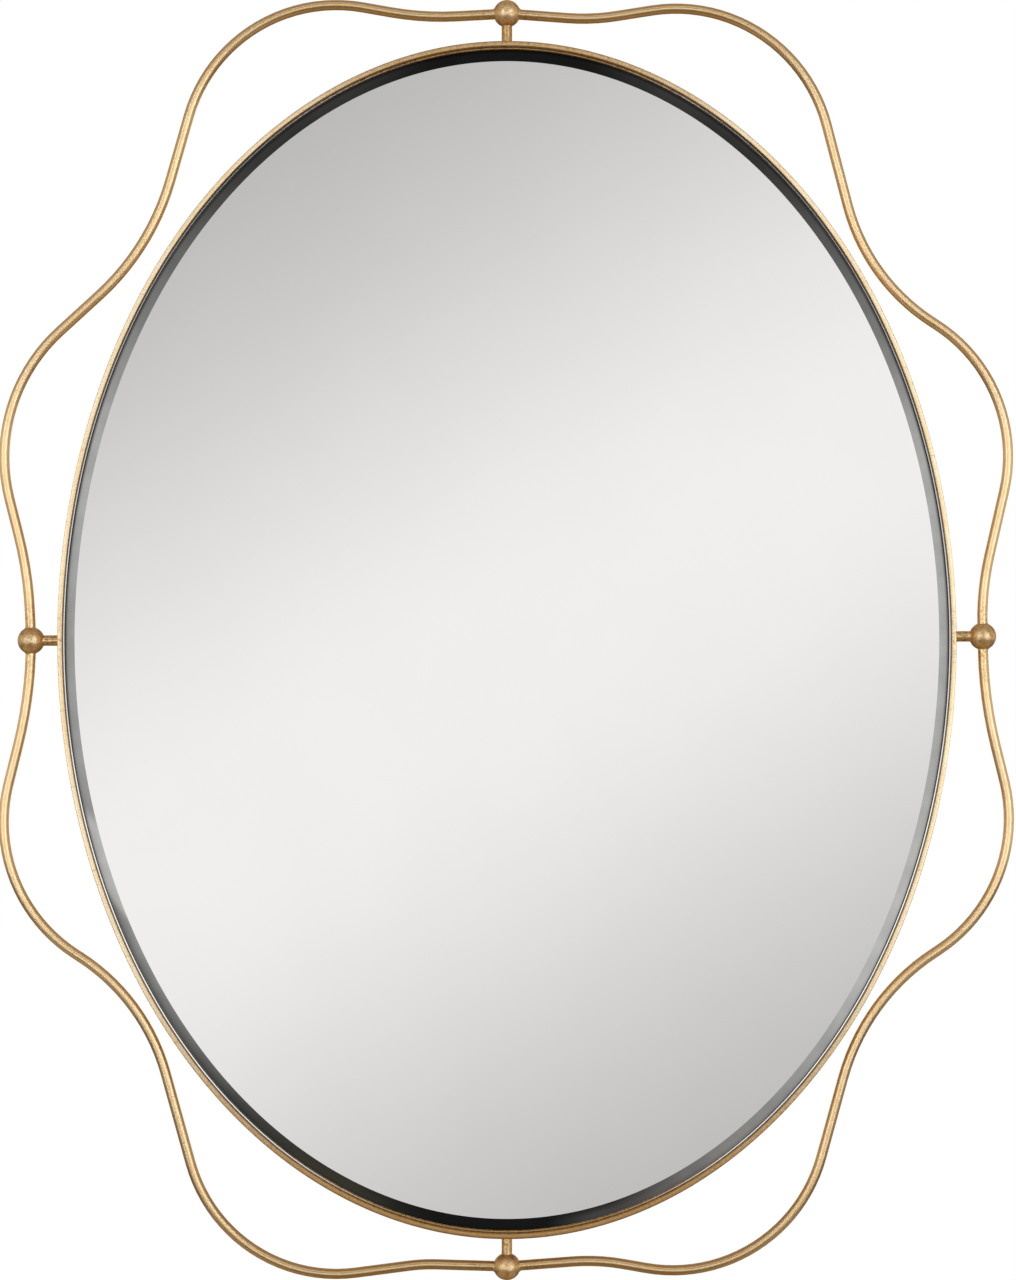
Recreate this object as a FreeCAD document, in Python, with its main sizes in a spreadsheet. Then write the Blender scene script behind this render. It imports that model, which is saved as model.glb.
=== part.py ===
import FreeCAD, Part
import math
import os
import Sketcher

# Oval wall mirror: a bevelled glass in a thin oval band of flat bar, with a wavy frame of round
# bar outside it that runs through four balls. Millimetres. X is to the right, Y is towards the
# wall, Z is up. The origin is the centre of the oval, on the wall.

V = FreeCAD.Vector
ACROSS = V(1, 0, 0)
REARWARD = V(0, 1, 0)
UPWARD = V(0, 0, 1)
SIDES = (("left", -1), ("right", 1))

SIZES = (
    # Mirror glass
    ("flat_half_width", 411.1),      # half of the flat field, inside the bevel
    ("flat_half_height", 550.4),
    ("bevel_side_width", 9.7),       # width of the bevel at the left and right
    ("bevel_end_width", 11.8),       # width of the bevel at the top and bottom
    ("bevel_drop", 1.8),             # how far the bevel falls back
    ("edge_seam", 1.1),              # ground corner outside the bevel
    ("glass_thickness", 5.0),
    ("glass_side_gap", 0.5),         # glass to band
    ("glass_end_gap", 1.0),
    ("glass_recess", 4.3),           # glass front behind the band's front edge
    # Oval band
    ("band_wall", 4.76),
    ("band_depth", 25.4),
    ("band_edge_round", 0.9),
    # Backing board and tape
    ("board_thickness", 6.0),
    ("board_gap", 1.5),              # board edge to band
    ("tape_thickness", 1.1),
    ("tape_width", 25.0),
    ("tape_spacing", 150.0),
    ("tape_end_gap", 30.0),          # end of a strip to the board's edge
    # Plates welded inside the band
    ("plate_thickness", 2.0),
    ("tab_width", 25.0),
    ("tab_length", 28.0),
    ("tab_hole_inset", 15.0),        # band's inner wall to the screw
    ("hanger_plate_width", 40.0),
    ("hanger_plate_margin", 10.0),   # plate below the strap's tail
    # Wood screws
    ("screw_diameter", 4.0),
    ("screw_bite", 5.0),             # length of screw in the board
    ("screw_tip", 1.5),
    ("screw_tip_flat", 0.6),         # diameter left at the tip
    ("screw_head_diameter", 8.0),
    ("screw_head_height", 2.4),
    ("screw_head_dome", 5.5),        # radius of the domed top
    ("recess_length", 4.4),
    ("recess_width", 0.9),
    ("recess_depth", 1.2),
    ("screw_hole_gap", 0.25),        # around a screw in steel
    ("pilot_gap", 0.03),             # around a screw in the board
    ("pilot_extra", 0.3),            # pilot hole past the tip
    # Hangers
    ("hanger_spacing", 500.0),       # between the two rings
    ("hanger_axis_drop", 40.0),      # band's inner wall down to the ring's axis
    ("strap_sheet", 1.2),
    ("strap_width", 16.0),
    ("strap_tail", 54.0),            # ring's axis to the end of the strap
    ("strap_screw_drop", 30.0),      # ring's axis to the first screw
    ("strap_screw_pitch", 15.0),     # first screw to the second
    ("ring_wire", 3.5),
    ("ring_gap", 0.08),              # ring in the strap's loop, all round
    ("ring_side_gap", 1.0),          # strap's edge to the ring's leg
    ("ring_drop", 22.0),             # ring's axis to the middle of its bow
    ("ring_corner", 2.6),            # bend radius where the bar turns into the legs
    ("ring_seam", 0.3),              # the wire's two ends meet inside the loop
    ("ring_rest_gap", 0.3),          # hanging ring to the strap's tail
    # Felt strips
    ("felt_thickness", 1.0),
    ("felt_width", 3.2),
    ("felt_length", 150.0),
    # Wavy frame
    ("rod_diameter", 9.7),
    ("post_diameter", 10.0),
    ("ball_diameter", 25.8),
    ("side_standoff", 13.4),         # band to ball, left and right
    ("end_standoff", 15.1),          # band to ball, top and bottom
    ("left_ball_rise", -0.5),        # the side balls aren't quite level with the middle
    ("right_ball_rise", 3.5),
    ("socket_depth", 5.0),
    ("socket_gap", 0.05),
    # Cutters reach this far past what they cut
    ("cut_overrun", 2.0),
)

# The rods were bent by hand and differ a little. Each row is one bend on the way from the top or
# bottom ball to the side ball: its corner's place across and up, as shares of the two ball
# reaches, and the share of the shorter run beside it that the bend takes.
ROD_BEND_SHARES = {
    "upper_left": (
        (0.175, 0.993, 0.44), (0.589, 1.048, 0.69), (0.748, 0.626, 0.31), (1.098, 0.383, 0.57),
        (1.006, 0.106, 0.67)),
    "upper_right": (
        (0.179, 0.990, 0.32), (0.597, 1.040, 0.70), (0.758, 0.573, 0.41), (1.097, 0.410, 0.58),
        (0.998, 0.081, 0.90)),
    "lower_left": (
        (0.177, 0.996, 0.17), (0.591, 1.037, 0.66), (0.761, 0.572, 0.40), (1.105, 0.405, 0.58),
        (1.004, 0.096, 0.90)),
    "lower_right": (
        (0.191, 0.989, 0.31), (0.583, 1.041, 0.74), (0.753, 0.571, 0.42), (1.102, 0.399, 0.57),
        (1.003, 0.094, 0.88)),
}
ROD_QUARTERS = {
    "upper_left": (-1, 1),
    "upper_right": (1, 1),
    "lower_left": (-1, -1),
    "lower_right": (1, -1),
}

TAB_ANGLES = (18, 162, 198, 342, 248, 292)   # round the oval, in degrees from the right
TAPE_STEPS = (-2, -1, 0, 1, 2)               # strips, counted in spacings from the middle

# Half widths and half heights of the ovals
GLASS_SEAM_HALF_WIDTH = "(Sizes.flat_half_width + Sizes.bevel_side_width)"
GLASS_SEAM_HALF_HEIGHT = "(Sizes.flat_half_height + Sizes.bevel_end_width)"
GLASS_HALF_WIDTH = f"({GLASS_SEAM_HALF_WIDTH} + Sizes.edge_seam)"
GLASS_HALF_HEIGHT = f"({GLASS_SEAM_HALF_HEIGHT} + Sizes.edge_seam)"
BAND_INNER_HALF_WIDTH = f"({GLASS_HALF_WIDTH} + Sizes.glass_side_gap)"
BAND_INNER_HALF_HEIGHT = f"({GLASS_HALF_HEIGHT} + Sizes.glass_end_gap)"
BAND_HALF_WIDTH = f"({BAND_INNER_HALF_WIDTH} + Sizes.band_wall)"
BAND_HALF_HEIGHT = f"({BAND_INNER_HALF_HEIGHT} + Sizes.band_wall)"
BOARD_HALF_WIDTH = f"({BAND_INNER_HALF_WIDTH} - Sizes.board_gap)"
BOARD_HALF_HEIGHT = f"({BAND_INNER_HALF_HEIGHT} - Sizes.board_gap)"

# Distances in front of the wall
BAND_FRONT = "(Sizes.felt_thickness + Sizes.band_depth)"
ROD_PLANE = "(Sizes.felt_thickness + Sizes.band_depth / 2)"
GLASS_FRONT = f"({BAND_FRONT} - Sizes.glass_recess)"
GLASS_REAR = f"({GLASS_FRONT} - Sizes.glass_thickness)"
TAPE_REAR = f"({GLASS_REAR} - Sizes.tape_thickness)"
BOARD_REAR = f"({TAPE_REAR} - Sizes.board_thickness)"
PLATE_REAR = f"({BOARD_REAR} - Sizes.plate_thickness)"
STRAP_REAR = f"({PLATE_REAR} - 2 * Sizes.strap_sheet)"
LOOP_BORE = "(Sizes.ring_wire / 2 + Sizes.ring_gap)"
LOOP_RADIUS = f"({LOOP_BORE} + Sizes.strap_sheet)"
RING_AXIS = f"({PLATE_REAR} - {LOOP_RADIUS})"

# Distances of the ball centres from the middle
SIDE_REACH = f"({BAND_HALF_WIDTH} + Sizes.side_standoff + Sizes.ball_diameter / 2)"
END_REACH = f"({BAND_HALF_HEIGHT} + Sizes.end_standoff + Sizes.ball_diameter / 2)"
SOCKET_FLOOR = "(Sizes.ball_diameter / 2 - Sizes.socket_depth)"
SIDE_RISES = {-1: "Sizes.left_ball_rise", 0: "0", 1: "Sizes.right_ball_rise"}

SCREW_HOLE_RADIUS = "(Sizes.screw_diameter / 2 + Sizes.screw_hole_gap)"
STRAP_SCREW_DROPS = ("Sizes.strap_screw_drop", "(Sizes.strap_screw_drop + Sizes.strap_screw_pitch)")


def make_sheet(document):
    """The sheet of driving sizes: a label, a number and an alias on each row."""
    made = document.addObject("Spreadsheet::Sheet", "Sizes")
    for row, (alias, number) in enumerate(SIZES, start=1):
        made.set(f"A{row}", alias.replace("_", " "))
        made.set(f"B{row}", str(number))
        made.setAlias(f"B{row}", alias)
    document.recompute()
    return made


doc = FreeCAD.newDocument("oval_mirror")
sheet = make_sheet(doc)


def size(expression):
    """A length worked out from the sheet, in millimetres."""
    return float(sheet.evalExpression(expression))


def bind(thing, **bindings):
    """Tie properties of an object to expressions; base_x, base_y and base_z place it.

    A number, worked out from the sheet in this source, is set as it is."""
    for name, value in bindings.items():
        if name.startswith("base_"):
            name = "Placement.Base." + name[-1]
        if isinstance(value, str):
            thing.setExpression(name, value)
        else:
            setattr(thing, name, value)
    return thing


def turned(axis, degrees, place=V(0, 0, 0)):
    return FreeCAD.Placement(place, FreeCAD.Rotation(axis, degrees))


def cylinder(name, radius, height, placement):
    """A cylinder that stands on its placement and runs along the placement's own Z."""
    made = doc.addObject("Part::Cylinder", name)
    made.Placement = placement
    return bind(made, Radius=radius, Height=height)


def box(name, length, width, height, placement):
    made = doc.addObject("Part::Box", name)
    made.Placement = placement
    return bind(made, Length=length, Width=width, Height=height)


def fused(name, parts):
    made = doc.addObject("Part::MultiFuse", name)
    made.Shapes = parts
    return made


def cut(name, base, tool):
    made = doc.addObject("Part::Cut", name)
    made.Base = base
    made.Tool = tool
    return made


def common(name, base, tool):
    made = doc.addObject("Part::Common", name)
    made.Base = base
    made.Tool = tool
    return made


def group(name, parts):
    made = doc.addObject("Part::Compound", name)
    made.Links = parts
    return made


def oval_block(name, half_width, half_height, rear, front):
    """A solid oval between two distances from the wall."""
    outline = doc.addObject("Part::Ellipse", name + "_outline")
    facing_front = FreeCAD.Rotation(UPWARD, -ACROSS, -REARWARD, "ZXY")
    outline.Placement = FreeCAD.Placement(V(0, 0, 0), facing_front)
    bind(outline, MajorRadius=half_height, MinorRadius=half_width, base_y=f"-{rear}")
    block = doc.addObject("Part::Extrusion", name)
    block.Base = outline
    block.DirMode = "Custom"
    block.Dir = -REARWARD
    block.Solid = True
    return bind(block, LengthFwd=f"{front} - {rear}")


def front_sketch(body, name, offset):
    """A sketch on the body's own front plane, moved towards the viewer by the offset."""
    sketch = body.newObject("Sketcher::SketchObject", name)
    plane = [feature for feature in body.Origin.OriginFeatures if feature.Role == "XZ_Plane"][0]
    sketch.AttachmentSupport = [(plane, "")]
    sketch.MapMode = "FlatFace"
    return bind(sketch, **{"AttachmentOffset.Base.z": offset})


def draw_oval(sketch, name, half_width, half_height):
    """An upright ellipse about the sketch's origin, with its width and height bound."""
    across = size(half_width)
    upright = size(half_height)
    oval = sketch.addGeometry(Part.Ellipse(V(0, upright, 0), V(across, 0, 0), V(0, 0, 0)), False)
    sketch.addConstraint(Sketcher.Constraint("Coincident", oval, 3, -1, 1))
    sketch.exposeInternalGeometry(oval)
    long_axis = oval + 1
    short_axis = oval + 2
    sketch.addConstraint(Sketcher.Constraint("Vertical", long_axis))
    for axis, word, half in ((long_axis, "height", half_height), (short_axis, "width", half_width)):
        row = sketch.addConstraint(Sketcher.Constraint("Distance", axis, 2 * size(half)))
        sketch.renameConstraint(row, f"{name}_{word}")
        sketch.setExpression(f"Constraints.{name}_{word}", f"2 * {half}")


def band_inner_height(across):
    """Height of the band's inner wall above the middle, at a distance across."""
    share = across / size(BAND_INNER_HALF_WIDTH)
    return size(BAND_INNER_HALF_HEIGHT) * math.sqrt(1 - share ** 2)


def bent_path(points, tangents):
    """Straight runs between the points, each corner rounded by an arc that is tangent to both."""
    edges = []
    start = points[0]
    for before, corner, after, tangent in zip(points, points[1:], points[2:], tangents):
        back = (before - corner).normalize()
        ahead = (after - corner).normalize()
        half_angle = back.getAngle(ahead) / 2
        radius = tangent * math.tan(half_angle)
        inward = (back + ahead).normalize()
        centre = corner + inward * (radius / math.sin(half_angle))
        entry = corner + back * tangent
        leave = corner + ahead * tangent
        edges.append(Part.LineSegment(start, entry).toShape())
        edges.append(Part.Arc(entry, centre - inward * radius, leave).toShape())
        start = leave
    edges.append(Part.LineSegment(start, points[-1]).toShape())
    return Part.Wire(edges)


def round_bar(name, diameter, wire):
    """A round bar swept along a wire."""
    spine = doc.addObject("Part::Feature", name + "_path")
    spine.Shape = wire
    first = wire.OrderedEdges[0]
    section = doc.addObject("Part::Circle", name + "_section")
    facing = FreeCAD.Rotation(UPWARD, first.tangentAt(first.FirstParameter))
    section.Placement = FreeCAD.Placement(first.valueAt(first.FirstParameter), facing)
    bind(section, Radius=f"{diameter} / 2")
    bar = doc.addObject("Part::Sweep", name)
    bar.Sections = [section]
    bar.Spine = (spine, [f"Edge{number}" for number in range(1, len(wire.Edges) + 1)])
    bar.Solid = True
    return bar


def screw_profile(body, length):
    """Half outline of a screw: its tip, its shank and its domed head."""
    sketch = body.newObject("Sketcher::SketchObject", body.Name + "_profile")
    plane = [feature for feature in body.Origin.OriginFeatures if feature.Role == "XY_Plane"][0]
    sketch.AttachmentSupport = [(plane, "")]
    sketch.MapMode = "FlatFace"
    shank = size("Sizes.screw_diameter / 2")
    head = size("Sizes.screw_head_diameter / 2")
    top = size("Sizes.screw_head_height")
    dome = size("Sizes.screw_head_dome")
    half_turn = math.asin(head / dome) / 2
    shoulder = top - dome + dome * math.cos(2 * half_turn)
    middle = V(dome * math.sin(half_turn), top - dome + dome * math.cos(half_turn), 0)
    corners = [V(0, top, 0), V(0, -length, 0), V(size("Sizes.screw_tip_flat / 2"), -length, 0),
               V(shank, -length + size("Sizes.screw_tip"), 0), V(shank, 0, 0), V(head, 0, 0),
               V(head, shoulder, 0)]
    for start, end in zip(corners, corners[1:]):
        sketch.addGeometry(Part.LineSegment(start, end), False)
    sketch.addGeometry(Part.Arc(corners[-1], middle, corners[0]), False)
    return sketch


def wood_screw(name, across, up, seat, grip):
    """A domed cross-head screw: seat is its head's distance from the wall, grip what it holds."""
    body = doc.addObject("PartDesign::Body", name + "_body")
    turning = body.newObject("PartDesign::Revolution", name + "_turning")
    turning.Profile = screw_profile(body, size(f"{grip} + Sizes.screw_bite"))
    turning.ReferenceAxis = (turning.Profile[0], ["V_Axis"])
    slots = []
    shapes = (("Sizes.recess_length", "Sizes.recess_width"), ("Sizes.recess_width", "Sizes.recess_length"))
    for number, (wide, high) in enumerate(shapes, start=1):
        slot = box(f"{name}_slot_{number}", wide, "Sizes.recess_depth + Sizes.cut_overrun", high,
                   turned(UPWARD, 0))
        bind(slot, base_x=f"-{wide} / 2", base_y="Sizes.screw_head_height - Sizes.recess_depth",
             base_z=f"-{high} / 2")
        slots.append(slot)
    screw = cut(name, body, fused(name + "_recess", slots))
    screw.Placement.Base = V(across, 0, up)
    return bind(screw, base_y=f"-{seat}")


def screw_hole(name, across, up, length, radius):
    """A cutter for a screw's hole that starts at the wall and runs forward."""
    return cylinder(name, radius, length, turned(ACROSS, 90, V(across, 0, up)))


def make_glass():
    """Mirror glass: a square-cut edge, a ground corner, and a bevel up to the flat field."""
    body = doc.addObject("PartDesign::Body", "mirror_glass")
    edge_top = "(Sizes.glass_thickness - Sizes.bevel_drop - Sizes.edge_seam)"
    seam_top = "(Sizes.glass_thickness - Sizes.bevel_drop)"
    levels = (
        ("rear", GLASS_HALF_WIDTH, GLASS_HALF_HEIGHT, "0"),
        ("edge", GLASS_HALF_WIDTH, GLASS_HALF_HEIGHT, edge_top),
        ("seam", GLASS_SEAM_HALF_WIDTH, GLASS_SEAM_HALF_HEIGHT, seam_top),
        ("flat", "Sizes.flat_half_width", "Sizes.flat_half_height", "Sizes.glass_thickness"),
    )
    sketches = []
    for word, half_width, half_height, offset in levels:
        sketch = front_sketch(body, f"glass_{word}", offset)
        draw_oval(sketch, word, half_width, half_height)
        sketches.append(sketch)
    doc.recompute()
    loft = body.newObject("PartDesign::AdditiveLoft", "glass_loft")
    loft.Profile = sketches[0]
    loft.Sections = sketches[1:]
    loft.Ruled = True
    return bind(body, base_y=f"-{GLASS_REAR}")


def make_band():
    """Oval band: flat bar on edge, bent round the glass, its front corners softened."""
    body = doc.addObject("PartDesign::Body", "rim_band")
    sketch = front_sketch(body, "band_outline", "0")
    draw_oval(sketch, "outer", BAND_HALF_WIDTH, BAND_HALF_HEIGHT)
    draw_oval(sketch, "inner", BAND_INNER_HALF_WIDTH, BAND_INNER_HALF_HEIGHT)
    pad = body.newObject("PartDesign::Pad", "band_pad")
    pad.Profile = sketch
    bind(pad, Length="Sizes.band_depth")
    doc.recompute()
    middle = -size("Sizes.band_depth / 2")
    front = [f"Edge{number}" for number, edge in enumerate(pad.Shape.Edges, start=1)
             if edge.BoundBox.YMax < middle]
    rounding = body.newObject("PartDesign::Fillet", "band_rounding")
    rounding.Base = (pad, front)
    bind(rounding, Radius="min(Sizes.band_edge_round; Sizes.band_wall / 4)")
    return bind(body, base_y="-Sizes.felt_thickness")


def make_board(pilots):
    """Backing board, with a pilot hole for each screw in its rear face."""
    body = doc.addObject("PartDesign::Body", "backing_board")
    outline = front_sketch(body, "board_outline", "0")
    draw_oval(outline, "board", BOARD_HALF_WIDTH, BOARD_HALF_HEIGHT)
    pad = body.newObject("PartDesign::Pad", "board_pad")
    pad.Profile = outline
    bind(pad, Length="Sizes.board_thickness")
    holes = front_sketch(body, "board_pilots", "0")
    radius = "Sizes.screw_diameter / 2 + Sizes.pilot_gap"
    for number, (across, up) in enumerate(pilots, start=1):
        circle = holes.addGeometry(Part.Circle(V(across, up, 0), V(0, 0, 1), size(radius)), False)
        row = holes.addConstraint(Sketcher.Constraint("Radius", circle, size(radius)))
        holes.renameConstraint(row, f"pilot_{number}")
        holes.setExpression(f"Constraints.pilot_{number}", radius)
    doc.recompute()
    solid_volume = pad.Shape.Volume
    pocket = body.newObject("PartDesign::Pocket", "board_pocket")
    pocket.Profile = holes
    pocket.Reversed = True
    bind(pocket, Length="Sizes.screw_bite + Sizes.pilot_extra")
    doc.recompute()
    if pocket.Shape.Volume >= solid_volume:
        raise RuntimeError("the pilot holes cut nothing")
    return bind(body, base_y=f"-{BOARD_REAR}")


def make_tape():
    """Foam tape in upright strips between the board and the glass."""
    strips = []
    for step in TAPE_STEPS:
        across = step * size("Sizes.tape_spacing")
        corner = abs(across) + size("Sizes.tape_width / 2")
        half = band_inner_height(corner) - size("Sizes.board_gap + Sizes.tape_end_gap")
        place = FreeCAD.Placement(V(across - size("Sizes.tape_width / 2"), 0, -half), FreeCAD.Rotation())
        name = f"tape_strip_{step + len(TAPE_STEPS) // 2 + 1}"
        strip = box(name, "Sizes.tape_width", "Sizes.tape_thickness", 2 * half, place)
        strips.append(bind(strip, base_y=f"-{GLASS_REAR}"))
    return group("mirror_tape", strips)


def tab_place(degrees):
    """Point of the band's inner wall at an angle round the oval, and its outward direction."""
    half_width = size(BAND_INNER_HALF_WIDTH)
    half_height = size(BAND_INNER_HALF_HEIGHT)
    angle = math.radians(degrees)
    point = V(half_width * math.cos(angle), 0, half_height * math.sin(angle))
    outward = V(math.cos(angle) / half_width, 0, math.sin(angle) / half_height).normalize()
    return point, outward


def tab_screw_points():
    points = []
    for degrees in TAB_ANGLES:
        point, outward = tab_place(degrees)
        points.append(point - outward * size("Sizes.tab_hole_inset"))
    return [(point.x, point.z) for point in points]


def make_tabs(inside):
    """Tabs welded inside the band, which the board's screws pass through."""
    blanks = []
    for number, degrees in enumerate(TAB_ANGLES, start=1):
        point, outward = tab_place(degrees)
        tilt = FreeCAD.Rotation(-REARWARD, math.degrees(math.atan2(outward.z, outward.x)))
        along = tilt.multVec(UPWARD)
        inner_end = point - outward * size("Sizes.tab_length") - along * size("Sizes.tab_width / 2")
        blank = box(f"tab_blank_{number}", "Sizes.tab_length + Sizes.cut_overrun", "Sizes.plate_thickness",
                    "Sizes.tab_width", FreeCAD.Placement(inner_end, tilt))
        blanks.append(bind(blank, base_y=f"-{BOARD_REAR}"))
    trimmed = common("tabs_trimmed", fused("tab_blanks", blanks), inside)
    holes = [screw_hole(f"tab_hole_{number}", across, up, BAND_FRONT, SCREW_HOLE_RADIUS)
             for number, (across, up) in enumerate(tab_screw_points(), start=1)]
    return cut("mounting_tabs", trimmed, fused("tab_holes", holes))


def make_tab_screws():
    screws = [wood_screw(f"tab_screw_{number}", across, up, PLATE_REAR, "Sizes.plate_thickness")
              for number, (across, up) in enumerate(tab_screw_points(), start=1)]
    return group("tab_screws", screws)


def hanger_height():
    """Height of the ring's axis: below the band where the hanger plate's outer corner meets it."""
    outer_corner = size("Sizes.hanger_spacing / 2 + Sizes.hanger_plate_width / 2")
    return band_inner_height(outer_corner) - size("Sizes.hanger_axis_drop")


def hanger_screw_points(side):
    across = side * size("Sizes.hanger_spacing / 2")
    return [(across, hanger_height() - size(drop)) for drop in STRAP_SCREW_DROPS]


def make_hanger_plate(word, side, inside):
    """Plate welded inside the band that carries one hanger."""
    bottom = hanger_height() - size("Sizes.strap_tail + Sizes.hanger_plate_margin")
    left = side * size("Sizes.hanger_spacing / 2") - size("Sizes.hanger_plate_width / 2")
    height = size(BAND_INNER_HALF_HEIGHT) - bottom
    blank = box(f"hanger_blank_{word}", "Sizes.hanger_plate_width", "Sizes.plate_thickness", height,
                FreeCAD.Placement(V(left, 0, bottom), FreeCAD.Rotation()))
    bind(blank, base_y=f"-{BOARD_REAR}")
    trimmed = common(f"hanger_trimmed_{word}", blank, inside)
    holes = [screw_hole(f"hanger_hole_{word}_{number}", across, up, BAND_FRONT, SCREW_HOLE_RADIUS)
             for number, (across, up) in enumerate(hanger_screw_points(side), start=1)]
    return cut(f"hanger_plate_{word}", trimmed, fused(f"hanger_holes_{word}", holes))


def make_strap(word, side):
    """Strip folded round the ring's bar, its two tails pressed flat and screwed down."""
    along_bar = turned(REARWARD, 90)
    rearward = turned(ACROSS, -90)
    tail_length = "(Sizes.strap_tail - Sizes.strap_width / 2)"
    tail_front = f"-{LOOP_RADIUS}"
    tail_thickness = "2 * Sizes.strap_sheet"
    loop = cylinder(f"strap_loop_{word}", LOOP_RADIUS, "Sizes.strap_width", along_bar)
    bind(loop, base_x="-Sizes.strap_width / 2")
    tail = box(f"strap_tail_{word}", "Sizes.strap_width", tail_thickness, tail_length, turned(UPWARD, 0))
    bind(tail, base_x="-Sizes.strap_width / 2", base_y=tail_front, base_z=f"-{tail_length}")
    end = cylinder(f"strap_end_{word}", "Sizes.strap_width / 2", tail_thickness, rearward)
    bind(end, base_y=tail_front, base_z=f"-{tail_length}")
    bore = cylinder(f"strap_bore_{word}", LOOP_BORE, "Sizes.strap_width + 2 * Sizes.cut_overrun", along_bar)
    bind(bore, base_x="-Sizes.strap_width / 2 - Sizes.cut_overrun")
    cutters = [bore]
    for number, drop in enumerate(STRAP_SCREW_DROPS, start=1):
        hole = cylinder(f"strap_hole_{word}_{number}", SCREW_HOLE_RADIUS,
                        f"{tail_thickness} + 2 * Sizes.cut_overrun", rearward)
        bind(hole, base_y=f"{tail_front} - Sizes.cut_overrun", base_z=f"-{drop}")
        cutters.append(hole)
    strap = cut(f"hanger_strap_{word}", fused(f"strap_solid_{word}", [loop, tail, end]),
                fused(f"strap_cutters_{word}", cutters))
    strap.Placement.Base.z = hanger_height()
    return bind(strap, base_x=f"{side} * Sizes.hanger_spacing / 2", base_y=f"-{RING_AXIS}")


def make_ring(word, side):
    """D-shaped wire ring, hanging from its bar and leaning on the strap's tail."""
    half = size("Sizes.strap_width / 2 + Sizes.ring_side_gap + Sizes.ring_wire / 2")
    drop = size("Sizes.ring_drop")
    seam = size("Sizes.ring_seam / 2")
    corner = size("Sizes.ring_corner")
    bow = min(half, drop - corner) - seam
    points = [V(seam, 0, 0), V(half, 0, 0), V(half, 0, -drop), V(-half, 0, -drop), V(-half, 0, 0),
              V(-seam, 0, 0)]
    ring = round_bar(f"d_ring_{word}", "Sizes.ring_wire", bent_path(points, [corner, bow, bow, corner]))
    rest_depth = size(f"{RING_AXIS} - ({STRAP_REAR} - Sizes.ring_rest_gap - Sizes.ring_wire / 2)")
    lean = math.degrees(math.asin(rest_depth / drop))
    print(f"ring {word}: {size(RING_AXIS):.3f} from the wall, {hanger_height():.3f} up, leans {lean:.2f}")
    ring.Placement = turned(ACROSS, lean, V(0, 0, hanger_height()))
    return bind(ring, base_x=f"{side} * Sizes.hanger_spacing / 2", base_y=f"-{RING_AXIS}")


def make_hanger_screws(word, side):
    grip = "(2 * Sizes.strap_sheet + Sizes.plate_thickness)"
    screws = [wood_screw(f"hanger_screw_{word}_{number}", across, up, STRAP_REAR, grip)
              for number, (across, up) in enumerate(hanger_screw_points(side), start=1)]
    return group(f"hanger_screws_{word}", screws)


def make_wall_felt():
    """Felt strips on the band's rear edge, at its top, bottom, left and right."""
    edge = "(Sizes.band_wall - Sizes.felt_width) / 2"
    outer = oval_block("felt_outer", f"({BAND_HALF_WIDTH} - {edge})", f"({BAND_HALF_HEIGHT} - {edge})",
                       "0", "Sizes.felt_thickness")
    inner = oval_block("felt_inner", f"({BAND_INNER_HALF_WIDTH} + {edge})",
                       f"({BAND_INNER_HALF_HEIGHT} + {edge})", "0", "Sizes.felt_thickness")
    hoop = cut("felt_hoop", outer, inner)
    wide = f"2 * {BAND_HALF_WIDTH}"
    tall = f"2 * {BAND_HALF_HEIGHT}"
    thick = "Sizes.felt_thickness"
    upright = box("felt_upright", "Sizes.felt_length", thick, tall, turned(UPWARD, 0))
    bind(upright, base_x="-Sizes.felt_length / 2", base_y=f"-{thick}", base_z=f"-{BAND_HALF_HEIGHT}")
    level = box("felt_level", wide, thick, "Sizes.felt_length", turned(UPWARD, 0))
    bind(level, base_x=f"-{BAND_HALF_WIDTH}", base_y=f"-{thick}", base_z="-Sizes.felt_length / 2")
    return common("wall_felt", hoop, fused("felt_cross", [upright, level]))


def rod_path(quarter):
    """Corners of one rod's path between its two sockets' floors, and the length each bend takes."""
    side, end = ROD_QUARTERS[quarter]
    side_reach = size(SIDE_REACH)
    end_reach = size(END_REACH)
    floor = size(SOCKET_FLOOR)
    corners = [V(side * side_reach * across, 0, end * end_reach * up)
               for across, up, bend_share in ROD_BEND_SHARES[quarter]]
    end_ball = V(0, 0, end * end_reach)
    side_ball = V(side * side_reach, 0, size(SIDE_RISES[side]))
    start = end_ball + (corners[0] - end_ball).normalize() * floor
    finish = side_ball + (corners[-1] - side_ball).normalize() * floor
    points = [start] + corners + [finish]
    runs = [(after - before).Length for before, after in zip(points, points[1:])]
    bend_shares = [row[2] for row in ROD_BEND_SHARES[quarter]]
    tangents = [share * min(before, after)
                for share, before, after in zip(bend_shares, runs, runs[1:])]
    return points, tangents


def make_rod(quarter):
    """One quarter of the wavy frame, from the end ball's socket to the side ball's socket."""
    wire = bent_path(*rod_path(quarter))
    rod = round_bar(f"wavy_rod_{quarter}", "Sizes.rod_diameter", wire)
    print(f"rod {quarter}: {wire.Length:.0f} long")
    return bind(rod, base_y=f"-{ROD_PLANE}")


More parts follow.
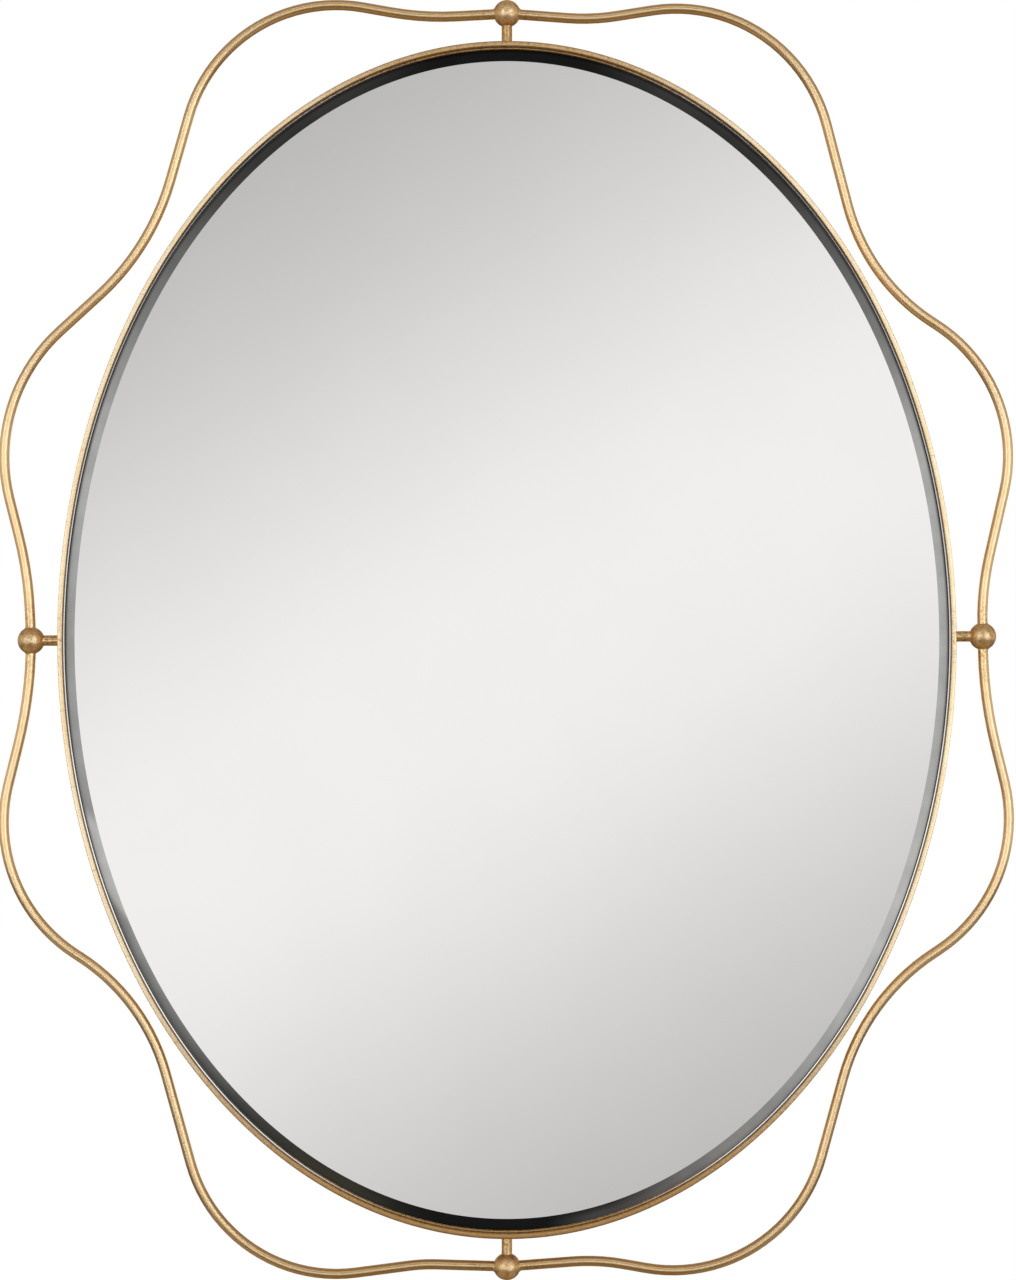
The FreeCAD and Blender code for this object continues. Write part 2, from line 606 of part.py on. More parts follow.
def make_ball(word, direction, quarters):
    """Ball drilled for its two rods and its post."""
    ball = doc.addObject("Part::Sphere", f"ball_blank_{word}")
    bind(ball, Radius="Sizes.ball_diameter / 2")
    headings = [(-direction, "Sizes.post_diameter")]
    for quarter in quarters:
        points, tangents = rod_path(quarter)
        if direction.z == 0:
            points.reverse()
        headings.append((points[1] - points[0], "Sizes.rod_diameter"))
    sockets = []
    for number, (heading, diameter) in enumerate(headings, start=1):
        facing = FreeCAD.Rotation(UPWARD, heading)
        floor = facing.multVec(UPWARD) * size(SOCKET_FLOOR)
        sockets.append(cylinder(f"ball_socket_{word}_{number}", f"{diameter} / 2 + Sizes.socket_gap",
                                "Sizes.socket_depth + Sizes.cut_overrun", FreeCAD.Placement(floor, facing)))
    made = cut(f"ball_{word}", ball, fused(f"ball_sockets_{word}", sockets))
    return bind(made, base_x=f"{int(direction.x)} * {SIDE_REACH}", base_y=f"-{ROD_PLANE}",
                base_z=f"{int(direction.z)} * {END_REACH} + {SIDE_RISES[int(direction.x)]}")


def make_post(word, direction):
    """Short post from the band to the floor of its socket in the ball."""
    standoff = "Sizes.end_standoff" if direction.x == 0 else "Sizes.side_standoff"
    facing = FreeCAD.Placement(V(0, 0, 0), FreeCAD.Rotation(UPWARD, direction))
    post = cylinder(f"post_{word}", "Sizes.post_diameter / 2", f"{standoff} + Sizes.socket_depth", facing)
    return bind(post, base_x=f"{int(direction.x)} * {BAND_HALF_WIDTH}", base_y=f"-{ROD_PLANE}",
                base_z=f"{int(direction.z)} * {BAND_HALF_HEIGHT} + {SIDE_RISES[int(direction.x)]}")


def make_parts():
    """Every sub-part of the mirror, in the order in which it goes together."""
    parts = [make_band()]
    inside = oval_block("band_inside", BAND_INNER_HALF_WIDTH, BAND_INNER_HALF_HEIGHT, "0", BAND_FRONT)
    parts.append(make_tabs(inside))
    for word, side in SIDES:
        parts.append(make_hanger_plate(word, side, inside))
    stations = (
        ("top", UPWARD, ("upper_left", "upper_right")),
        ("bottom", -UPWARD, ("lower_left", "lower_right")),
        ("left", -ACROSS, ("upper_left", "lower_left")),
        ("right", ACROSS, ("upper_right", "lower_right")),
    )
    for word, direction, quarters in stations:
        parts.append(make_post(word, direction))
        parts.append(make_ball(word, direction, quarters))
    for quarter in ROD_QUARTERS:
        parts.append(make_rod(quarter))
    pilots = tab_screw_points()
    for word, side in SIDES:
        pilots = pilots + hanger_screw_points(side)
    parts.append(make_board(pilots))
    parts.append(make_tape())
    parts.append(make_glass())
    parts.append(make_tab_screws())
    for word, side in SIDES:
        parts.append(make_strap(word, side))
        parts.append(make_ring(word, side))
        parts.append(make_hanger_screws(word, side))
    parts.append(make_wall_felt())
    return parts


def check_document(parts):
    """Stop before anything is written if a feature failed or a sub-part's shape is bad."""
    failed = [thing.Name for thing in doc.Objects if {"Invalid", "Error"} & set(thing.State)]
    for part in parts:
        if part.Shape.isNull() or not part.Shape.isValid() or not part.Shape.Solids:
            failed.append(part.Label)
    if failed:
        raise RuntimeError("failed: " + ", ".join(failed))


made_parts = make_parts()
doc.recompute()
check_document(made_parts)
os.makedirs("parts", exist_ok=True)
for part in made_parts:
    part.Shape.exportStep(os.path.join("parts", part.Label + ".step"))
    print(f"{part.Label}: {len(part.Shape.Solids)} solids, {part.Shape.Volume / 1000:.2f} cubic cm")
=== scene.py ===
# %% [markdown]
# # An oval wall mirror in a wavy gilt frame
# The real mirror is a large oval of bevelled glass in a thin hoop of flat bar. Four bent round
# bars wave round it and meet in four small balls. All the metal on the front is covered with
# gold leaf. The solids come from a CAD model, so this lesson is about looks: leaf, glass, paint,
# and the room that a mirror shows back to us.

# %% Load the solids
import math

import bmesh
import bpy
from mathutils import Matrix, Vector, noise


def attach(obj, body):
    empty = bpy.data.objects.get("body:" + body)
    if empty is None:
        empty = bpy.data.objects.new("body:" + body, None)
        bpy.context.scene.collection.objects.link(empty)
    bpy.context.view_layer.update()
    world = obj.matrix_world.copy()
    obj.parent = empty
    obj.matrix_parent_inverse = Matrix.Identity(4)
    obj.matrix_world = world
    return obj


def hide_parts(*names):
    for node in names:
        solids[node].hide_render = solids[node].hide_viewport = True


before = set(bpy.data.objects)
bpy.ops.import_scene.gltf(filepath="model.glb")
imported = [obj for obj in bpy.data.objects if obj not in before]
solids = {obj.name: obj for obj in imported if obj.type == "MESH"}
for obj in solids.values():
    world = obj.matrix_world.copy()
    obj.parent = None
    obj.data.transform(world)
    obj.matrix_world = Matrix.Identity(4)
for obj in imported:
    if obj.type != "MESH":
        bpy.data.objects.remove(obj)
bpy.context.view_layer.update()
scene = bpy.context.scene

# %% [markdown]
# ## The camera
# A mirror on a wall is photographed from far back with a long lens, level with its middle, so
# that the hoop hardly shows its sides. The lens could be guessed by eye. Here it is worked out
# from what the picture's height covers in the plane of the bars. Blender lays the sensor's 36 mm
# along the longer side of the picture, which is its height here.

# %% Camera
MM = 0.001
PICTURE_HEIGHT_AT_RODS = 1220.1 * MM
CAMERA_DISTANCE = 3.4
CAMERA_ASIDE, CAMERA_ABOVE = 1.05 * MM, 0.05 * MM
ROD_PLANE = -13.7 * MM
SENSOR = 36.0

camera_data = bpy.data.cameras.new("camera")
camera_data.sensor_fit = "AUTO"
camera_data.sensor_width = SENSOR
camera_data.lens = SENSOR * CAMERA_DISTANCE / PICTURE_HEIGHT_AT_RODS
camera = bpy.data.objects.new("camera", camera_data)
camera.location = (CAMERA_ASIDE, ROD_PLANE - CAMERA_DISTANCE, CAMERA_ABOVE)
camera.rotation_euler = (math.radians(90), 0, 0)
scene.collection.objects.link(camera)
scene.camera = camera
scene.view_settings.view_transform = "Standard"
print(f"lens {camera_data.lens:.1f} mm")

# %% [markdown]
# ## Small helpers for node trees
# Every finish below is a tree of nodes. Wiring them one line at a time hides the idea, so these
# helpers add a node or two each and hand back the output.

# %% Node helpers
def feed(tree, value, socket):
    """Give a socket a number, a colour or another node's output."""
    if isinstance(value, bpy.types.NodeSocket):
        tree.links.new(value, socket)
    else:
        socket.default_value = value


def calc(tree, operation, *values):
    node = tree.nodes.new("ShaderNodeMath")
    node.operation = operation
    for value, socket in zip(values, node.inputs):
        feed(tree, value, socket)
    return node.outputs[0]


def times(tree, *values):
    result = values[0]
    for value in values[1:]:
        result = calc(tree, "MULTIPLY", result, value)
    return result


def total(tree, *values):
    result = values[0]
    for value in values[1:]:
        result = calc(tree, "ADD", result, value)
    return result


def diagonal(tree, first, second):
    """How far it is when one goes the first way and the second way square to it."""
    return calc(tree, "SQRT", total(tree, times(tree, first, first), times(tree, second, second)))


def split_place(tree, place):
    """The three parts of a place or a direction."""
    node = tree.nodes.new("ShaderNodeSeparateXYZ")
    feed(tree, place, node.inputs[0])
    return node.outputs


def fade(tree, value, start, end, low=0.0, high=1.0):
    """Goes smoothly from low to high while the value goes from start to end."""
    node = tree.nodes.new("ShaderNodeMapRange")
    node.interpolation_type = "SMOOTHSTEP"
    for item, socket in zip((value, start, end, low, high), node.inputs):
        feed(tree, item, socket)
    return node.outputs[0]


def blend_colours(tree, amount, first, second):
    node = tree.nodes.new("ShaderNodeMix")
    node.data_type = "RGBA"
    feed(tree, amount, node.inputs[0])
    feed(tree, first, node.inputs[6])
    feed(tree, second, node.inputs[7])
    return node.outputs[2]


def grain(tree, where, scale, detail=2.0, roughness=0.5, distortion=0.0):
    """Soft cloudy noise, from 0 to 1."""
    node = tree.nodes.new("ShaderNodeTexNoise")
    settings = {"Vector": where, "Scale": scale, "Detail": detail, "Roughness": roughness,
                "Distortion": distortion}
    for name, value in settings.items():
        feed(tree, value, node.inputs[name])
    return node.outputs["Fac"]


print("helpers for node trees")

# %% [markdown]
# Each finish starts as an empty material. Its noises follow the place on the object, so that
# nothing has to be unwrapped.

# %% Start of a finish
def new_finish(name):
    """An empty material: its tree, its shader and its output."""
    made = bpy.data.materials.new(name)
    made.use_nodes = True
    tree = made.node_tree
    tree.nodes.clear()
    shader = tree.nodes.new("ShaderNodeBsdfPrincipled")
    out = tree.nodes.new("ShaderNodeOutputMaterial")
    feed(tree, shader.outputs[0], out.inputs["Surface"])
    return made, tree, shader, out


def object_place(tree):
    return tree.nodes.new("ShaderNodeTexCoord").outputs["Object"]


print("an empty finish has a shader and an output")

# %% [markdown]
# ## The studio
# A mirror has no colour of its own: it shows the room. This one faced a large white card, lit
# brightest along a diagonal, with grey walls at its sides, darkness above and below, and a ring of
# soft lights further out. The same room lights the gold. It could be built from lamps and boards,
# but a world that is brighter in some directions is smoother and has no noise. A direction is
# given here by its turn to the right and its rise, both as angles.

# %% Studio world
world = bpy.data.worlds.new("studio")
scene.world = world
world.use_nodes = True
room = world.node_tree
room.nodes.clear()
LEAST_AHEAD = 0.05
direction = room.nodes.new("ShaderNodeTexCoord").outputs["Generated"]
right, back, up = split_place(room, direction)
ahead = calc(room, "MULTIPLY", back, -1.0)
turn = calc(room, "ARCTAN2", right, ahead)
rise = calc(room, "ARCSINE", up)
off_side = calc(room, "ABSOLUTE", turn)
off_level = calc(room, "ABSOLUTE", rise)
nearest_ahead = calc(room, "MAXIMUM", ahead, LEAST_AHEAD)
card_right = calc(room, "DIVIDE", right, nearest_ahead)
card_up = calc(room, "DIVIDE", up, nearest_ahead)


def degrees_fade(value, start, end, low=0.0, high=1.0):
    return fade(room, value, math.radians(start), math.radians(end), low, high)


def hump(value, middle, reach, plateau):
    """1 within the plateau's distance of the middle, fading to 0 at the reach, in degrees."""
    distance = calc(room, "ABSOLUTE", calc(room, "SUBTRACT", value, math.radians(middle)))
    return degrees_fade(distance, reach, plateau)


print("an empty world with its directions")

# %% [markdown]
# The card's brightest band runs from lower left to upper right. Its brightness falls to both
# sides as one over a power of the distance, which follows a real lamp's falloff on a card.

# %% White card behind the camera
GLASS_TINT = 0.93
ACROSS_RIGHT, ACROSS_UP = -0.5, 0.866
BAND_OFFSET = 0.0042
BAND_REACH = 0.1236
FALLOFF = 2.3
BAND_LIGHT, CARD_LIGHT = 0.583 / GLASS_TINT, 0.2826 / GLASS_TINT

across_band = total(room, times(room, card_right, ACROSS_RIGHT), times(room, card_up, ACROSS_UP), BAND_OFFSET)
band_share = calc(room, "DIVIDE", calc(room, "ABSOLUTE", across_band), BAND_REACH)
band_fall = calc(room, "ADD", calc(room, "POWER", band_share, FALLOFF), 1.0)
card_light = total(room, calc(room, "DIVIDE", BAND_LIGHT, band_fall), CARD_LIGHT)
card_edges = times(room, degrees_fade(off_side, 20, 9.5), degrees_fade(rise, 17.5, 10.5),
                   degrees_fade(rise, -20, -12.5))
card = times(room, card_light, card_edges)
print("white card behind the camera")

# %% [markdown]
# The bevel of the glass leans outward by about ten degrees, so it looks past the card. At the
# sides it shows grey walls, which fade away upward and downward. That is why the bevel is pale
# left and right and nearly black above and below. Even walls would be simpler, but the real ones
# aren't even: the left one darkens into its lower corner and the right one is brighter halfway up.

# %% Grey walls beside the card
GREY_WALL = 0.37
walls_level = degrees_fade(rise, 25, 6)
walls_below = degrees_fade(rise, -25, -11)
walls_outer = degrees_fade(off_side, 25.5, 31, 1.0, 0.68)
wall_shape = times(room, degrees_fade(off_side, 7, 27), walls_outer, walls_level, walls_below)
dark_corner = times(room, degrees_fade(diagonal(room, turn, rise), 25, 29.5),
                    degrees_fade(rise, -3, -12), -0.62)
left_wall = total(room, times(room, hump(rise, 6.5, 6, 2), 0.2), dark_corner, 1.0)
right_wall = total(room, degrees_fade(rise, 13, 7, 0.84, 1.22), degrees_fade(rise, -8, -14, 0.0, -0.22))
on_right = calc(room, "GREATER_THAN", turn, 0.0)
uneven_walls = total(room, times(room, right_wall, on_right),
                     times(room, left_wall, calc(room, "SUBTRACT", 1.0, on_right)))
walls = times(room, wall_shape, uneven_walls, GREY_WALL)
print("grey walls")

# %% [markdown]
# Whatever else stands in a room shows in a bevel as soft patches, and a mirror without them looks
# drawn. They could be objects, but only their blurred shapes count. The largest lies at the lower
# right, a small one at the lower left, a faint one under the card, and a fainter glow toward all
# four corners.

# %% Soft patches that only the bevel shows
CORNER_TURN, CORNER_RISE = math.radians(19), math.radians(-17.5)
corner_distance = diagonal(room, calc(room, "SUBTRACT", turn, CORNER_TURN),
                           calc(room, "SUBTRACT", rise, CORNER_RISE))
corner = degrees_fade(corner_distance, 15, 4, 0.0, 0.21)
outer_glow = times(room, hump(off_side, 16, 11, 4), hump(off_level, 27, 8, 3), 0.030)
low_patch = times(room, hump(turn, 8.5, 6, 2), hump(rise, -28.5, 5, 2), 0.05)
left_patch = times(room, hump(turn, -23.5, 5, 3), hump(rise, -9.1, 2.4, 1.4), 0.21)
patches = total(room, corner, outer_glow, low_patch, left_patch)
print("four soft patches")

# %% [markdown]
# The flat glass and its bevel leave some directions out, and the gold lights up from those. A
# brighter board just beside and just above the card feeds the hoop's flat front, which would
# otherwise be as dull as the glass. Walls far out at the sides colour the rims of the bars.

# %% Boards just outside the card, and the side walls
SHELF_LIGHT = 1.3
SIDE_WALL = 0.42
shoulders = times(room, hump(off_side, 15.5, 6.5, 3.0), degrees_fade(off_level, 15, 9),
                  degrees_fade(turn, -10, 10, 1.58, 1.95))
shelf = times(room, hump(rise, 13, 3.4, 1.6), hump(off_side, 0, 12.5, 8), SHELF_LIGHT)
side_walls = times(room, hump(off_side, 85, 45, 22), degrees_fade(rise, -32, -6),
                   degrees_fade(rise, 62, 30), SIDE_WALL)
print("boards and side walls")

# %% [markdown]
# A round bar shows a wide part of the room squeezed into its width. One bright line along it
# comes from one bright place. The photograph has such a line on the bars all round, a little
# above their middle, so the soft lights stand in a ring that stops short of the floor. The ring is
# a little taller than wide, and brighter at the sides than above, most of all on the right.

# %% Ring of soft lights round the card
RING_FLATTENING = 0.87
off_card = diagonal(room, turn, calc(room, "MULTIPLY", rise, RING_FLATTENING))
ring_level = degrees_fade(rise, 14, 40, 2.75, 1.05)
ring_side = degrees_fade(turn, -22, 22, 0.92, 1.12)
ring_lights = times(room, hump(off_card, 40, 8.5, 3.5), degrees_fade(rise, -32, -8), ring_level, ring_side)
print("ring of soft lights")

# %% [markdown]
# The rest of the room is dim. Without a ceiling and a floor the bars would have black edges, and
# the same weak light from everywhere keeps the dark places from falling to pure black.

# %% Ceiling, floor and what is behind
LOW_SIDES, REAR_WALL, ROOM_GLOW = 0.18, 0.20, 0.010
ceiling = times(room, degrees_fade(rise, 33, 50, 0.0, 0.30), degrees_fade(off_side, 15, 50, 0.85, 1.25))
ground = times(room, degrees_fade(rise, -31, -42), degrees_fade(rise, -105, -45, 0.17, 0.225))
low_sides = times(room, degrees_fade(rise, -20, -40), hump(off_side, 85, 60, 35), LOW_SIDES)
rear = times(room, degrees_fade(off_side, 110, 140), hump(rise, 15, 45, 15), REAR_WALL)
warm_light = total(room, side_walls, ceiling, rear, low_sides)
lights = total(room, card, walls, patches, shoulders, shelf, ring_lights)
brightness = total(room, lights, warm_light, ground, ROOM_GLOW)
print("ceiling, floor and rear wall")

# %% [markdown]
# One white for the whole room would nearly do for the glass, but gold also takes warmth from the
# side walls and the floor. So each part of the room has its own colour, and it counts for as much
# as that part adds to the brightness.

# %% Colour of each part of the room
neutral = (1.0, 0.995, 0.98, 1.0)
cool_daylight = (0.975, 1.0, 1.045, 1.0)
warm_wall = (1.0, 0.78, 0.50, 1.0)
brown_floor = (1.0, 0.67, 0.20, 1.0)
olive_corner = (1.0, 0.98, 0.66, 1.0)
russet_corner = (1.0, 0.74, 0.68, 1.0)
ray = room.nodes.new("ShaderNodeLightPath").outputs
shine_only = ray["Is Glossy Ray"]
cool_share = calc(room, "DIVIDE", ring_lights, brightness)
warm_share = times(room, calc(room, "DIVIDE", warm_light, brightness), shine_only)
brown_share = times(room, calc(room, "DIVIDE", ground, brightness), shine_only)
tinted_share = times(room, calc(room, "DIVIDE", outer_glow, brightness), degrees_fade(rise, 0, -12))
studio_colour = blend_colours(room, cool_share, neutral, cool_daylight)
corner_colour = blend_colours(room, degrees_fade(turn, -3, 3), olive_corner, russet_corner)
studio_colour = blend_colours(room, tinted_share, studio_colour, corner_colour)
studio_colour = blend_colours(room, warm_share, studio_colour, warm_wall)
studio_colour = blend_colours(room, brown_share, studio_colour, brown_floor)
print("colours of the room")

# %% [markdown]
# The photograph has a plain white background. The camera therefore sees white in place of this
# room, and so does a shine that looks almost straight back past the object. A white board behind
# it would shade the back. Here the kind of ray decides between two backgrounds, the studio and
# plain white at a strength of 1, which costs no extra light on the object.

# %% Studio and white background
STRAIGHT_BACK = (9, 6)
studio = room.nodes.new("ShaderNodeBackground")
feed(room, studio_colour, studio.inputs["Color"])
feed(room, brightness, studio.inputs["Strength"])
white = room.nodes.new("ShaderNodeBackground")
feed(room, (1.0, 1.0, 1.0, 1.0), white.inputs["Color"])
feed(room, 1.0, white.inputs["Strength"])
behind = times(room, degrees_fade(calc(room, "ARCCOSINE", back), *STRAIGHT_BACK),
               calc(room, "MAXIMUM", ray["Is Glossy Ray"], ray["Is Transmission Ray"]))
choice = room.nodes.new("ShaderNodeMixShader")
feed(room, calc(room, "MAXIMUM", ray["Is Camera Ray"], behind), choice.inputs[0])
feed(room, studio.outputs[0], choice.inputs[1])
feed(room, white.outputs[0], choice.inputs[2])
world_out = room.nodes.new("ShaderNodeOutputWorld")
feed(room, choice.outputs[0], world_out.inputs["Surface"])
print(f"studio world: {len(room.nodes)} nodes")

# %% [markdown]
# ## Lamp and floor
# One wide lamp overhead gives the floor its light and the object its soft shadow. It could also
# light the gold, but a lamp's hard reflection would spoil the leaf, so shiny surfaces don't see it.

# %% Overhead lamp
lamp_data = bpy.data.lights.new("overhead", "AREA")
lamp_data.shape = "RECTANGLE"
lamp_data.size = 2.4
lamp_data.size_y = 1.6
lamp_data.energy = 26
lamp = bpy.data.objects.new("overhead", lamp_data)
lamp.location = (0.0, -0.9, 2.3)
lamp.rotation_euler = (math.radians(18), 0, 0)
lamp.visible_glossy = False
lamp.visible_camera = False
scene.collection.objects.link(lamp)
print(f"overhead lamp: {lamp_data.energy:.0f} W")

# %% [markdown]
# The mirror hangs on a wall, so the floor is well below it, out of the photograph. It is pale
# paper that fades into the white background, which leaves no hard edge. Half of what the camera
# sees of it is plain white, so it stays light and still keeps the object's shadow.

# %% Floor
FLOOR_HEIGHT = -1.45
FLOOR_HALF = 1.9
floor_mesh = bpy.data.meshes.new("floor")
floor_corners = [(-FLOOR_HALF, -FLOOR_HALF, 0), (FLOOR_HALF, -FLOOR_HALF, 0),
                 (FLOOR_HALF, FLOOR_HALF, 0), (-FLOOR_HALF, FLOOR_HALF, 0)]
floor_mesh.from_pydata(floor_corners, [], [(0, 1, 2, 3)])
floor = bpy.data.objects.new("floor", floor_mesh)
floor.location = (0, 0, FLOOR_HEIGHT)
floor.visible_glossy = False
scene.collection.objects.link(floor)
print(f"floor {FLOOR_HEIGHT} m below the middle")

# %% [markdown]
# Paper isn't one flat grey: a soft noise moves its tone a little. Seen by the camera it is half
# paper and half white light, and from 0.9 m outward it grows clear, so its rim can't be seen.

# %% Paper of the floor
CAMERA_WHITE = 0.5
PAPER_ENDS = (0.9, 1.8)

pale_floor, tree, shader, out = new_finish("pale_floor")
place = object_place(tree)
speck = grain(tree, place, 14.0, 4.0)
feed(tree, blend_colours(tree, speck, (0.90, 0.90, 0.89, 1), (0.86, 0.86, 0.85, 1)),
     shader.inputs["Base Color"])
feed(tree, 0.9, shader.inputs["Roughness"])
feed(tree, 0.0, shader.inputs["Specular IOR Level"])
length = tree.nodes.new("ShaderNodeVectorMath")
length.operation = "LENGTH"
feed(tree, place, length.inputs[0])
paper_white = tree.nodes.new("ShaderNodeEmission")
seen = tree.nodes.new("ShaderNodeLightPath").outputs["Is Camera Ray"]
paper = tree.nodes.new("ShaderNodeMixShader")
feed(tree, times(tree, seen, CAMERA_WHITE), paper.inputs[0])
feed(tree, shader.outputs[0], paper.inputs[1])
feed(tree, paper_white.outputs[0], paper.inputs[2])
clear = tree.nodes.new("ShaderNodeBsdfTransparent")
edge = tree.nodes.new("ShaderNodeMixShader")
feed(tree, fade(tree, length.outputs["Value"], *PAPER_ENDS), edge.inputs[0])
feed(tree, paper.outputs[0], edge.inputs[1])
feed(tree, clear.outputs[0], edge.inputs[2])
feed(tree, edge.outputs[0], out.inputs["Surface"])
floor.data.materials.append(pale_floor)
print(f"paper: {len(tree.nodes)} nodes")

# %% [markdown]
# ## Gold leaf
# Leaf is beaten gold laid by hand over a smooth ground and then rubbed. It shines as metal, but
# it is never even: thin spots let the brown ground through, the rubbing leaves paler and deeper
# clouds, and fine grit in the ground gives it a broken sparkle. A flat gold would look like
# plastic. The leaf has broken up most where hands and brushes go round a joint, so the finish
# needs to know how near a joint is.

# %% Gold colours and the joints
PALE_GOLD = (1.0, 0.77, 0.47, 1)
MIDDLE_GOLD = (0.95, 0.69, 0.38, 1)
DEEP_GOLD = (0.70, 0.44, 0.18, 1)
BROWN_GOLD = (0.44, 0.24, 0.075, 1)
GROUND_BROWN = (0.16, 0.085, 0.03, 1)
BALL_ACROSS, BALL_UP = 453.46 * MM, 597.06 * MM
JOINT_REACH = (50 * MM, 20 * MM)


def joint_nearness(tree, place):
    """1 at the balls, fading to 0 a few centimetres away along the rods."""
    folded = tree.nodes.new("ShaderNodeVectorMath")
    folded.operation = "ABSOLUTE"
    feed(tree, place, folded.inputs[0])
    distances = []
    for middle in ((BALL_ACROSS, -ROD_PLANE, 0), (0, -ROD_PLANE, BALL_UP)):
        reach = tree.nodes.new("ShaderNodeVectorMath")
        reach.operation = "DISTANCE"
        feed(tree, folded.outputs[0], reach.inputs[0])
        feed(tree, middle, reach.inputs[1])
        distances.append(reach.outputs["Value"])
    return fade(tree, calc(tree, "MINIMUM", *distances), *JOINT_REACH)


print("five golds, from pale leaf to bare ground")

# %% [markdown]
# Leaf comes in squares 80 mm wide. Where one square laps over the next, a thin uneven line stays
# visible across the hoop. The lines could be drawn one by one; the fraction left over when the
# place is divided by the width of a square finds them all. Where leaf fails it breaks into crumbs.

# %% Laps between squares of leaf, and crumbs
LEAF_SQUARE = 80 * MM
STEEP_FROM = 290 * MM
LAP_WIDTH = (0.014, 0.005)


def leaf_laps(tree, place):
    """1 on the laps, which are level where the hoop is steep and upright elsewhere."""
    across, _, upward = split_place(tree, place)
    steep = calc(tree, "GREATER_THAN", calc(tree, "ABSOLUTE", across), STEEP_FROM)
    run = total(tree, times(tree, upward, steep), times(tree, across, calc(tree, "SUBTRACT", 1.0, steep)))
    uneven = times(tree, grain(tree, place, 12.0, 2.0), 0.6)
    square = calc(tree, "FRACT", total(tree, times(tree, run, 1 / LEAF_SQUARE), uneven))
    off_lap = calc(tree, "ABSOLUTE", calc(tree, "SUBTRACT", square, 0.5))
    gaps = fade(tree, grain(tree, place, 350.0), 0.38, 0.55)
    return times(tree, fade(tree, off_lap, *LAP_WIDTH), gaps)


def crumb_noise(tree, place):
    """The crumbs that the leaf breaks into. The same ones lie on the metal beside it."""
    return grain(tree, place, 430.0, 3.0, 0.65, 0.6)


print(f"leaf squares {LEAF_SQUARE * 1000:.0f} mm wide")

# %% [markdown]
# Three sizes of noise mix a pale, a middle and a deep gold. A fourth breaks the leaf into crumbs
# at the joints and at the top and bottom ends, a fifth lets dark specks through, and the same
# noises raise a fine bump that breaks up the shine. Toward the top and the bottom the leaf is also
# painted browner, partly as worn leaf and partly as painted shade for the dimmer light there.

# %% Gold leaf finish
SHADED_WORN_TOP = (0.47, 0.575)
SHADED_WORN_BOTTOM = (-0.28, -0.55)
LEAF_RELIEF = 0.08 * MM


def gold_leaf(name, wear, speckle, shine, grit, crumble, end_shade_and_wear=(0.0, 0.0), base=PALE_GOLD,
              sparkle=0.35, laps=0.0):
    """wear: how deep the clouds go. speckle: how much ground shows. shine: roughness of the metal.
    grit: how rough it feels. crumble: how much the leaf has broken up at the joints and the ends.
    end_shade_and_wear: how far the top and the bottom are browned, as worn leaf and as painted
    shade. sparkle: depth of the finest noise.
    laps: how plainly the laps between leaves show."""
    made, tree, shader, _ = new_finish(name)
    place = object_place(tree)
    clouds = grain(tree, place, 22.0, 3.0, 0.55)
    mottle = grain(tree, place, 170.0, 4.0, 0.62, 0.4)
    crumbs = crumb_noise(tree, place)
    fine = grain(tree, place, 1100.0, 3.0, 0.6)
    near_joint = joint_nearness(tree, place)
    height = split_place(tree, place)["Z"]
    # Painted shade: toward the top and the bottom the leaf is blended to brown gold, for the dimmer light
    # there as well as for worn leaf.
    near_top = fade(tree, height, *SHADED_WORN_TOP, 0.0, end_shade_and_wear[0])
    near_bottom = fade(tree, height, *SHADED_WORN_BOTTOM, 0.0, end_shade_and_wear[1])
    broken = calc(tree, "MAXIMUM", near_joint, total(tree, near_top, near_bottom))
    cloudy = fade(tree, clouds, 0.35, 0.68, 0.0, 0.45 + wear)
    rubbed = times(tree, fade(tree, mottle, 0.47, 0.72), total(tree, times(tree, near_joint, 0.25), wear))
    crumbled = times(tree, fade(tree, crumbs, 0.48, 0.60), broken, crumble)
    pits = fade(tree, grain(tree, place, 420.0, 2.0, 0.5, 0.8), 0.66, 0.74)
    pitted_places = fade(tree, grain(tree, place, 46.0, 2.0), 0.44, 0.66, 0.15, 1.0)
    bare = times(tree, pits, pitted_places, speckle)

    layers = [(cloudy, MIDDLE_GOLD), (rubbed, DEEP_GOLD),
              (fade(tree, fine, 0.30, 0.75, 0.0, sparkle), DEEP_GOLD)]
    if laps:
        layers.append((times(tree, leaf_laps(tree, place), laps), DEEP_GOLD))
    layers += [(near_top, BROWN_GOLD), (near_bottom, BROWN_GOLD), (crumbled, BROWN_GOLD),
               (bare, GROUND_BROWN)]
    tone = base
    for amount, colour in layers:
        tone = blend_colours(tree, amount, tone, colour)
    feed(tree, tone, shader.inputs["Base Color"])
    feed(tree, calc(tree, "SUBTRACT", 1.0, times(tree, bare, 0.8)), shader.inputs["Metallic"])
    rough = total(tree, shine, times(tree, mottle, 0.14), times(tree, bare, 0.25))
    feed(tree, rough, shader.inputs["Roughness"])

    relief = total(tree, times(tree, mottle, 0.5), times(tree, fine, 0.22), times(tree, bare, -0.4),
                   times(tree, crumbs, broken, 2.4))
    bump = tree.nodes.new("ShaderNodeBump")
    feed(tree, calc(tree, "ADD", times(tree, broken, 0.35), grit), bump.inputs["Strength"])
    feed(tree, LEAF_RELIEF, bump.inputs["Distance"])
    feed(tree, relief, bump.inputs["Height"])
    feed(tree, bump.outputs[0], shader.inputs["Normal"])
    print(f"{name}: {len(tree.nodes)} nodes")
    return made
